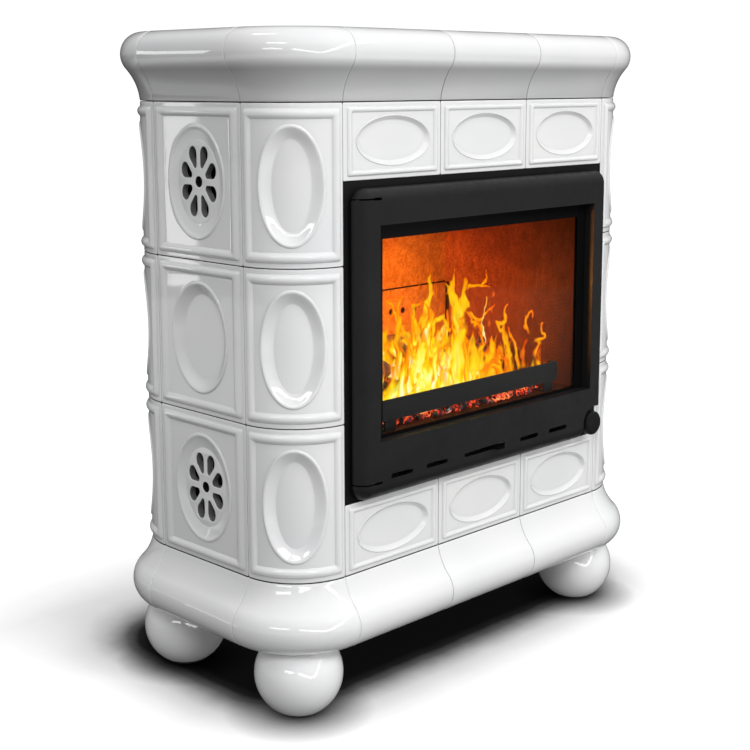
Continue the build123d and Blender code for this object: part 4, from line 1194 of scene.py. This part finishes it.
r_ = np.random.default_rng(21)
spots, dark = [], []
for k in range(46):
    x = -246 + 492 * (k + r_.uniform(-0.3, 0.3)) / 45
    s = r_.uniform(7.0, 11.5)
    y = -190 + r_.uniform(-4, 6)
    if abs(abs(x) - 209) < 26:
        y = -172
    (dark if r_.random() < 0.22 else spots).append((x, y, s))
for k in range(230):
    x, y = r_.uniform(-248, 248), r_.uniform(-172, 70)
    (dark if r_.random() < 0.35 else spots).append((x, y, r_.uniform(9, 17)))
coals("embers", spots, MAT_EMBER, 5)
coals("coals", dark, MAT_COAL, 6)


def log(name, p0, p1, r0, r1, seed, mat_bark, mat_end):
    """Log: a lumpy round section, ridged and cracked along its length, with rough ends."""
    p0, p1 = np.array(p0, float), np.array(p1, float)
    ax = p1 - p0
    L = np.linalg.norm(ax)
    ax /= L
    s = np.cross(ax, (0, 0, 1.0))
    s /= np.linalg.norm(s)
    t = np.cross(s, ax)
    n, m = 72, max(24, int(L / 6))
    th = np.linspace(0, 2 * np.pi, n + 1)[:-1]
    rows = []
    r = np.random.default_rng(seed)
    ph = r.uniform(0, 6, 4)
    for k in range(m + 1):
        q = k / m
        rad = (r0 + (r1 - r0) * q) * (1 + 0.05 * np.sin(3 * th + ph[0] + q) + 0.05 * np.sin(5 * th + ph[1] + 2 * q))
        ridge = fbm(th * 3.2 + 0.4 * q, np.full(n, q * L / 55.0), seed, 3)
        crack = np.abs(perlin(th * 2.1 + 0.6 * fbm(np.full(n, q * L / 26.0), th, seed + 3, 2), np.full(n, q * L / 34.0), seed + 5))
        rad = rad + 2.2 * ridge - 2.2 * np.clip(0.18 - crack, 0, 1) / 0.18
        e = min(k, m - k)
        rad = rad * (1 - 0.10 * math.exp(-e / 1.2))
        rows.append(p0 + ax * (L * q + 0 * th[:, None]) + s * (rad * np.cos(th))[:, None] + t * (rad * np.sin(th))[:, None])
    V = np.vstack(rows)
    F = []
    for k in range(m):
        for i in range(n):
            F.append([k * n + i, k * n + (i + 1) % n, (k + 1) * n + (i + 1) % n, (k + 1) * n + i])
    nside = len(F)
    for k, sg in ((0, -1), (m, 1)):
        base = rows[k]
        c = base.mean(0)
        prev = [k * n + i for i in range(n)]
        for f in (0.8, 0.6, 0.4, 0.2):
            q = c + (base - c) * f + ax * (sg * (2.0 + 1.6 * perlin(np.cos(th) * f * 3 + 4, np.sin(th) * f * 3 + 4, seed + 8)))[:, None] * 0.8
            s0 = len(V)
            V = np.vstack([V, q])
            cur = [s0 + i for i in range(n)]
            F += [[prev[i], prev[(i + 1) % n], cur[(i + 1) % n], cur[i]] for i in range(n)]
            prev = cur
        V = np.vstack([V, c + ax * sg * 1.5])
        F += [[prev[i], prev[(i + 1) % n], len(V) - 1] for i in range(n)]
    o = piece(name, V, F, mat_bark, "stove", None, (), sharp=60)
    o.data.materials.append(mat_end)
    idx = [0] * nside + [1] * (len(F) - nside)
    o.data.polygons.foreach_set("material_index", idx)
    return o


def wood_mat(name, cols, glow):
    m, nt, b, _ = new_mat(name)
    v = coords(nt)
    vo = nt.nodes.new("ShaderNodeTexVoronoi")
    vo.feature = "DISTANCE_TO_EDGE"
    vo.inputs["Scale"].default_value = 85.0
    nt.links.new(v, vo.inputs["Vector"])
    g = noise(nt, coords(nt, 1.0, (0.6, 2.5, 2.5)), 90.0, 4.0, 0.65)
    nt.links.new(ramp(nt, g, [(0.3, cols[0]), (0.55, cols[1]), (0.75, cols[2])]), b.inputs["Base Color"])
    b.inputs["Roughness"].default_value = 0.85
    crack = maprange(nt, vo.outputs["Distance"], 0.0, 0.06, 1.0, 0.0)
    hot = maprange(nt, noise(nt, v, 18.0, 2.0), 0.45, 0.65, 0.0, 1.0)
    mul = nt.nodes.new("ShaderNodeMath")
    mul.operation = "MULTIPLY"
    nt.links.new(crack, mul.inputs[0])
    nt.links.new(hot, mul.inputs[1])
    nt.links.new(ramp(nt, mul.outputs[0], [(0.0, (0, 0, 0)), (0.5, (0.5, 0.03, 0.0)), (1.0, (1.0, 0.30, 0.04))]), b.inputs["Emission Color"])
    b.inputs["Emission Strength"].default_value = glow
    bump(nt, b, g, 0.6, 0.002)
    m.cycles.emission_sampling = "NONE"
    return m


MAT_BARK = wood_mat("burning_bark", ((0.012, 0.010, 0.009), (0.035, 0.024, 0.018), (0.10, 0.06, 0.04)), 1.2)
MAT_END = wood_mat("burning_end", ((0.05, 0.03, 0.018), (0.22, 0.12, 0.06), (0.50, 0.33, 0.18)), 0.6)
log("log_1", (-205, -128, 506), (95, -66, 496), 30, 27, 3, MAT_BARK, MAT_END)
log("log_2", (-120, 20, 500), (190, -52, 506), 28, 30, 8, MAT_BARK, MAT_END)
log("log_3", (-222, -66, 552), (60, -8, 532), 24, 26, 13, MAT_BARK, MAT_END)
log("log_4", (-170, -150, 538), (-118, 40, 548), 15, 18, 19, MAT_BARK, MAT_END)

# -------------------------------------------------- CAD nodes that stay
SLOT_MATS = {"black_paint": MAT_DOOR, "black_cast": MAT_CAST, "fire_lining": MAT_LINING, "door_glass": MAT_GLASS,
             "rope": MAT_ROPE, "pad_rubber": MAT_RUBBER, "zinc_steel": MAT_ZINC, "dark_steel": MAT_DARK, "grey_panel": MAT_PANEL, "white_glaze": MAT_GLAZE}
SLOT_OF = {s["node"]: s["material_slot"] for s in frame["record"]["subparts"]}
for n, o in NODES.items():
    o.data.materials.clear()
    # door_surround and air_lever get the darker painted-shade copies of the black paint
    o.data.materials.append({"door_surround": MAT_SURROUND, "air_lever": MAT_LEVER}.get(n, SLOT_MATS[SLOT_OF[n]]))

# ------------------------------------------------------------------ camera
cam = put(bpy.data.objects.new("camera", bpy.data.cameras.new("camera")))
cam.data.lens, cam.data.sensor_width = 66.39, 36.0
cam.data.shift_x, cam.data.shift_y = 0.0, -0.0733
az, pt, ro = math.radians(45.02), math.radians(9.73), math.radians(-0.12)
fwd = Vector((math.sin(az) * math.cos(pt), math.cos(az) * math.cos(pt), -math.sin(pt)))
right = Vector((math.cos(az), -math.sin(az), 0))
up = right.cross(fwd)
r2 = right * math.cos(ro) + up * math.sin(ro)
u2 = -right * math.sin(ro) + up * math.cos(ro)
cam.matrix_world = Matrix(((r2.x, u2.x, -fwd.x, -1.789), (r2.y, u2.y, -fwd.y, -1.74275), (r2.z, u2.z, -fwd.z, 1.0135), (0, 0, 0, 1)))
cam.data.clip_end = 100
bpy.context.scene.camera = cam


# -------------------------------------------------------------- floor, light
def camera_ray_mix(nt, seen, unseen, out):
    lp = nt.nodes.new("ShaderNodeLightPath")
    mx = nt.nodes.new("ShaderNodeMixShader")
    nt.links.new(lp.outputs["Is Camera Ray"], mx.inputs[0])
    nt.links.new(unseen, mx.inputs[1])
    nt.links.new(seen, mx.inputs[2])
    nt.links.new(mx.outputs[0], out)


def behind(nt, vec, a, b):
    """Dark flag behind the stove, met only by reflections: it draws the outline of the glazed pieces."""
    dot = nt.nodes.new("ShaderNodeVectorMath")
    dot.operation = "DOT_PRODUCT"
    nt.links.new(vec, dot.inputs[0])
    dot.inputs[1].default_value = (0.75, 0.66, 0.0)
    return ramp(nt, maprange(nt, dot.outputs["Value"], a, b, 0.0, 1.0), [(0.0, (1, 1, 1)), (1.0, (0.10, 0.10, 0.10))])


def floor_mat():
    """Pale studio floor. Its reflection in the glaze is a bright sweep that ends at the back of the room."""
    m, nt, b, out = new_mat("floor_look")
    v = coords(nt)
    # painted shadow under the stove: a darkening by distance from the footprint, times ambient-occlusion contact shade;
    # it darkens both the floor's colour and its glow
    near = nt.nodes.new("ShaderNodeAmbientOcclusion")
    near.samples = 6
    near.inputs["Distance"].default_value = 0.07
    painted_contact_shade = math_node(nt, "POWER", near.outputs["AO"], 1.6)
    tc = nt.nodes.new("ShaderNodeTexCoord")
    ln = nt.nodes.new("ShaderNodeVectorMath")
    ln.operation = "LENGTH"
    nt.links.new(tc.outputs["Object"], ln.inputs[0])
    sep = nt.nodes.new("ShaderNodeSeparateXYZ")
    nt.links.new(tc.outputs["Object"], sep.inputs[0])
    qx = math_node(nt, "SUBTRACT", math_node(nt, "ABSOLUTE", math_node(nt, "SUBTRACT", sep.outputs["X"], 0.045)), 0.485 - 0.16)
    qy = math_node(nt, "SUBTRACT", math_node(nt, "ABSOLUTE", math_node(nt, "SUBTRACT", sep.outputs["Y"], 0.10)), 0.276 - 0.16)
    px, py = math_node(nt, "MAXIMUM", qx, 0.0), math_node(nt, "MAXIMUM", qy, 0.0)
    far = math_node(nt, "SQRT", math_node(nt, "ADD", math_node(nt, "MULTIPLY", px, px), math_node(nt, "MULTIPLY", py, py)))
    dist = math_node(nt, "SUBTRACT", math_node(nt, "ADD", far, math_node(nt, "MINIMUM", math_node(nt, "MAXIMUM", qx, qy), 0.0)), 0.16)
    # the shadow runs out faster in front than behind
    run = maprange(nt, sep.outputs["Y"], 0.16, 0.50, 1.0, 0.38)
    dist = math_node(nt, "ADD", math_node(nt, "MULTIPLY", math_node(nt, "MAXIMUM", dist, 0.0), run), math_node(nt, "MINIMUM", dist, 0.0))
    dist = math_node(nt, "ADD", dist, maprange(nt, noise(nt, v, 9.0, 4.0, 0.6), 0.2, 0.8, -0.006, 0.006))
    painted_floor_shadow = ramp(nt, maprange(nt, dist, -0.06, 0.16, 0.0, 1.0),
                [(0.0, (0.004,) * 3), (0.10, (0.012,) * 3), (0.19, (0.08,) * 3), (0.27, (0.227,) * 3), (0.36, (0.43,) * 3), (0.45, (0.60,) * 3), (0.64, (0.79,) * 3), (0.82, (0.92,) * 3), (1.0, (1.0,) * 3)])
    painted_floor_shadow = mixc(nt, 1.0, painted_floor_shadow, painted_contact_shade, "MULTIPLY")
    c = ramp(nt, noise(nt, v, 3.0, 5.0), [(0.3, (0.235,) * 3), (0.7, (0.255,) * 3)])
    nt.links.new(mixc(nt, 1.0, c, painted_floor_shadow, "MULTIPLY"), b.inputs["Base Color"])
    b.inputs["Roughness"].default_value = 0.6
    b.inputs["Specular IOR Level"].default_value = 0.0
    nt.links.new(painted_floor_shadow, b.inputs["Emission Color"])
    b.inputs["Emission Strength"].default_value = 0.94
    d = nt.nodes.new("ShaderNodeBsdfDiffuse")
    d.inputs[0].default_value = (0.21, 0.21, 0.21, 1)
    g = nt.nodes.new("ShaderNodeEmission")
    sweep = ramp(nt, maprange(nt, ln.outputs["Value"], 0.0, 10.0, 0.0, 1.0),
                 [(0.05, (0.04, 0.04, 0.04)), (0.11, (0.10, 0.10, 0.10)), (0.20, (0.40, 0.40, 0.40)), (0.26, (0.95, 0.95, 0.95)), (0.470, (0.95, 0.95, 0.95)), (0.474, (0.36, 0.36, 0.36))])
    nt.links.new(mixc(nt, 1.0, sweep, behind(nt, tc.outputs["Object"], 0.4, 1.6), "MULTIPLY"), g.inputs[0])
    lp = nt.nodes.new("ShaderNodeLightPath")
    unseen = nt.nodes.new("ShaderNodeMixShader")
    nt.links.new(lp.outputs["Is Glossy Ray"], unseen.inputs[0])
    nt.links.new(d.outputs[0], unseen.inputs[1])
    nt.links.new(g.outputs[0], unseen.inputs[2])
    camera_ray_mix(nt, b.outputs[0], unseen.outputs[0], out.inputs[0])
    m.cycles.emission_sampling = "NONE"
    return m


fl = bpy.data.meshes.new("floor")
n_f = 96
fv, ff = [(0, 0, 0)], []
for r in (0.5, 1.0, 2.0, 4.0, 8.0, 16.0):
    fv += [(r * math.cos(2 * math.pi * k / n_f), r * math.sin(2 * math.pi * k / n_f), 0) for k in range(n_f)]
ff += [(0, 1 + k, 1 + (k + 1) % n_f) for k in range(n_f)]
for q in range(5):
    ff += [(1 + q * n_f + k, 1 + (q + 1) * n_f + k, 1 + (q + 1) * n_f + (k + 1) % n_f, 1 + q * n_f + (k + 1) % n_f) for k in range(n_f)]
fl.from_pydata(fv, [], ff)
fl.materials.append(floor_mat())
floor = put(bpy.data.objects.new("floor", fl))

wd = bpy.data.worlds.new("studio")
bpy.context.scene.world = wd
wd.use_nodes = True
wn = wd.node_tree
wn.nodes.clear()
w_out = wn.nodes.new("ShaderNodeOutputWorld")
w_seen = wn.nodes.new("ShaderNodeBackground")
w_seen.inputs[0].default_value = (1, 1, 1, 1)
w_seen.inputs[1].default_value = 1.05
w_lit = wn.nodes.new("ShaderNodeBackground")
w_tc = wn.nodes.new("ShaderNodeTexCoord")
w_sep = wn.nodes.new("ShaderNodeSeparateXYZ")
wn.links.new(w_tc.outputs["Generated"], w_sep.inputs[0])
w_col = ramp(wn, maprange(wn, w_sep.outputs["Z"], -1.0, 1.0, 0.0, 1.0), [(0.47, (0.02, 0.02, 0.02)), (0.51, (0.36, 0.36, 0.365)), (0.70, (0.42, 0.42, 0.425)), (0.80, (0.78, 0.78, 0.785)), (1.0, (0.84, 0.84, 0.84))])
w_lp = wn.nodes.new("ShaderNodeLightPath")
w_flag = mixc(wn, 1.0, w_col, behind(wn, w_tc.outputs["Generated"], 0.50, 0.86), "MULTIPLY")
wn.links.new(mixc(wn, w_lp.outputs["Is Glossy Ray"], w_col, w_flag), w_lit.inputs[0])
w_lit.inputs[1].default_value = 1.0
camera_ray_mix(wn, w_seen.outputs[0], w_lit.outputs[0], w_out.inputs[0])


def area(name, loc, target, sx, sy, power, col=(1, 1, 1)):
    li = bpy.data.lights.new(name, "AREA")
    li.shape, li.size, li.size_y, li.energy, li.color = "RECTANGLE", sx, sy, power, col
    o = put(bpy.data.objects.new(name, li))
    o.location = loc
    o.rotation_mode = "QUATERNION"
    o.rotation_quaternion = (Vector(target) - Vector(loc)).to_track_quat("-Z", "Y")
    return o


def glow_lamp(name, loc, radius, power, col):
    li = bpy.data.lights.new(name, "POINT")
    li.shadow_soft_size, li.energy, li.color = radius, power, col
    o = put(bpy.data.objects.new(name, li))
    o.location = loc
    return o


def strip(name, p0, p1, width, radiance, target):
    """Thin bright bar that only shows as a reflection in the glaze."""
    p0, p1 = Vector(p0), Vector(p1)
    mid, along = (p0 + p1) / 2, (p1 - p0)
    length = along.length
    x = along.normalized()
    z = -(Vector(target) - mid).normalized()
    y = z.cross(x).normalized()
    z = x.cross(y).normalized()
    li = bpy.data.lights.new(name, "AREA")
    li.shape, li.size, li.size_y = "RECTANGLE", length, width
    li.energy = radiance * math.pi * length * width
    o = put(bpy.data.objects.new(name, li))
    o.matrix_world = Matrix(((x.x, y.x, z.x, mid.x), (x.y, y.y, z.y, mid.y), (x.z, y.z, z.z, mid.z), (0, 0, 0, 1)))
    o.visible_diffuse = False
    o.visible_camera = False
    o.visible_transmission = False
    return o


def around(az, el, d=3.0, c=(-0.40, -0.19, 1.0)):
    """Point seen from the front left corner of the stove at an azimuth and an elevation."""
    a, e = math.radians(az), math.radians(el)
    return (c[0] + d * math.cos(a) * math.cos(e), c[1] + d * math.sin(a) * math.cos(e), c[2] + d * math.sin(e))


CORNER_TOP = (-0.40, -0.19, 1.0)
soft = [area("front_high", (0.7, -3.0, 2.8), (0, 0, 0.6), 1.4, 1.2, 48),
        area("front_right", (2.4, -2.8, 1.4), (0, 0, 0.6), 1.2, 1.4, 5.4),
        area("front_low", (0.3, -3.2, 0.35), (0, 0, 0.6), 1.4, 0.6, 19),
        area("corner_high", (-2.3, -2.3, 2.7), (0, 0, 0.6), 1.3, 1.2, 34),
        area("back_fill", (1.5, 3.1, 1.7), (0, 0, 0.6), 1.6, 1.4, 26)]
for o in soft:
    o.visible_glossy = False
    o.visible_camera = False
CORNER_MID = (-0.40, -0.19, 0.62)


def beam(name, ends, width, radiance, d=6.0, c=CORNER_MID):
    """Tube seen in the glaze, between two directions (azimuth, elevation) from the front left corner."""
    strip(name, around(*ends[0], d, c), around(*ends[1], d, c), width, radiance, c)


beam("vee_left_a", ((189, 13), (214, 13)), 0.55, 5.5)
beam("vee_left_b", ((227, 11), (262.0, -4.0)), 0.62, 5.5)
beam("vee_right_a", ((264.5, -4.0), (291, 19)), 0.55, 5.5)
beam("vee_right_b", ((292, 21), (324, 35)), 0.45, 3.0)
beam("arch_left", ((184, 25), (195, 45)), 0.55, 6.5)
beam("arch_mid", ((196, 45), (236, 42)), 0.50, 5.0)
beam("arch_right", ((243, 41), (256, 20)), 0.70, 6.5)
beam("top_dash", ((125, 62), (158, 77)), 0.50, 6.0)
beam("crown_dash", ((191, 34), (219, 35)), 0.55, 6.5, 6.0, (-0.43, -0.19, 1.07))
beam("side_band", ((108, 11), (129, 4)), 0.85, 3.4)
strip("side_bar", (-3.14, 3.61, 0.05), (-3.14, 3.61, 1.5), 0.15, 3.0, (-0.44, 0.0, 0.8))
strip("floor_line", (-1.02, 0.29, 0.012), (-1.12, 0.76, 0.012), 0.05, 2.4, (-0.50, 0.0, 0.17))

# each tube shows only in the pieces whose highlight it draws
LIT = {"vee_": ("cornice_corners", "cornice_front", "plinth_corners", "plinth_front", "foot"),
       "arch_": ("corner_tiles", "front_tiles", "side_tiles", "side_plain", "side_vent", "front_upper", "front_lower"),
       "side_bar": ("side_",),
       "top_dash": ("cornice_corners",), "crown_dash": ("cornice_corners",),
       "side_band": ("cornice_sides",), "floor_line": ("plinth_sides", "plinth_corners")}
MESHES = [o for o in bpy.data.objects if o.type == "MESH" and o.name.endswith("_glazed")]
for key, names in LIT.items():
    group = bpy.data.collections.new("lit_by_" + key.strip("_"))
    for o in MESHES:
        if o.name.startswith(names):
            group.objects.link(o)
    for o in bpy.data.objects:
        if o.type == "LIGHT" and o.name.startswith(key):
            o.light_linking.receiver_collection = group
glow_lamp("fire_left", (-0.15, 0.0, 0.60), 0.05, 9.0, (1.0, 0.36, 0.06))
glow_lamp("fire_mid", (0.03, -0.08, 0.56), 0.05, 3.0, (1.0, 0.33, 0.05))

sc = bpy.context.scene
sc.view_settings.view_transform = "Standard"
sc.view_settings.look = "None"
sc.cycles.max_bounces = 12
sc.cycles.transparent_max_bounces = 24
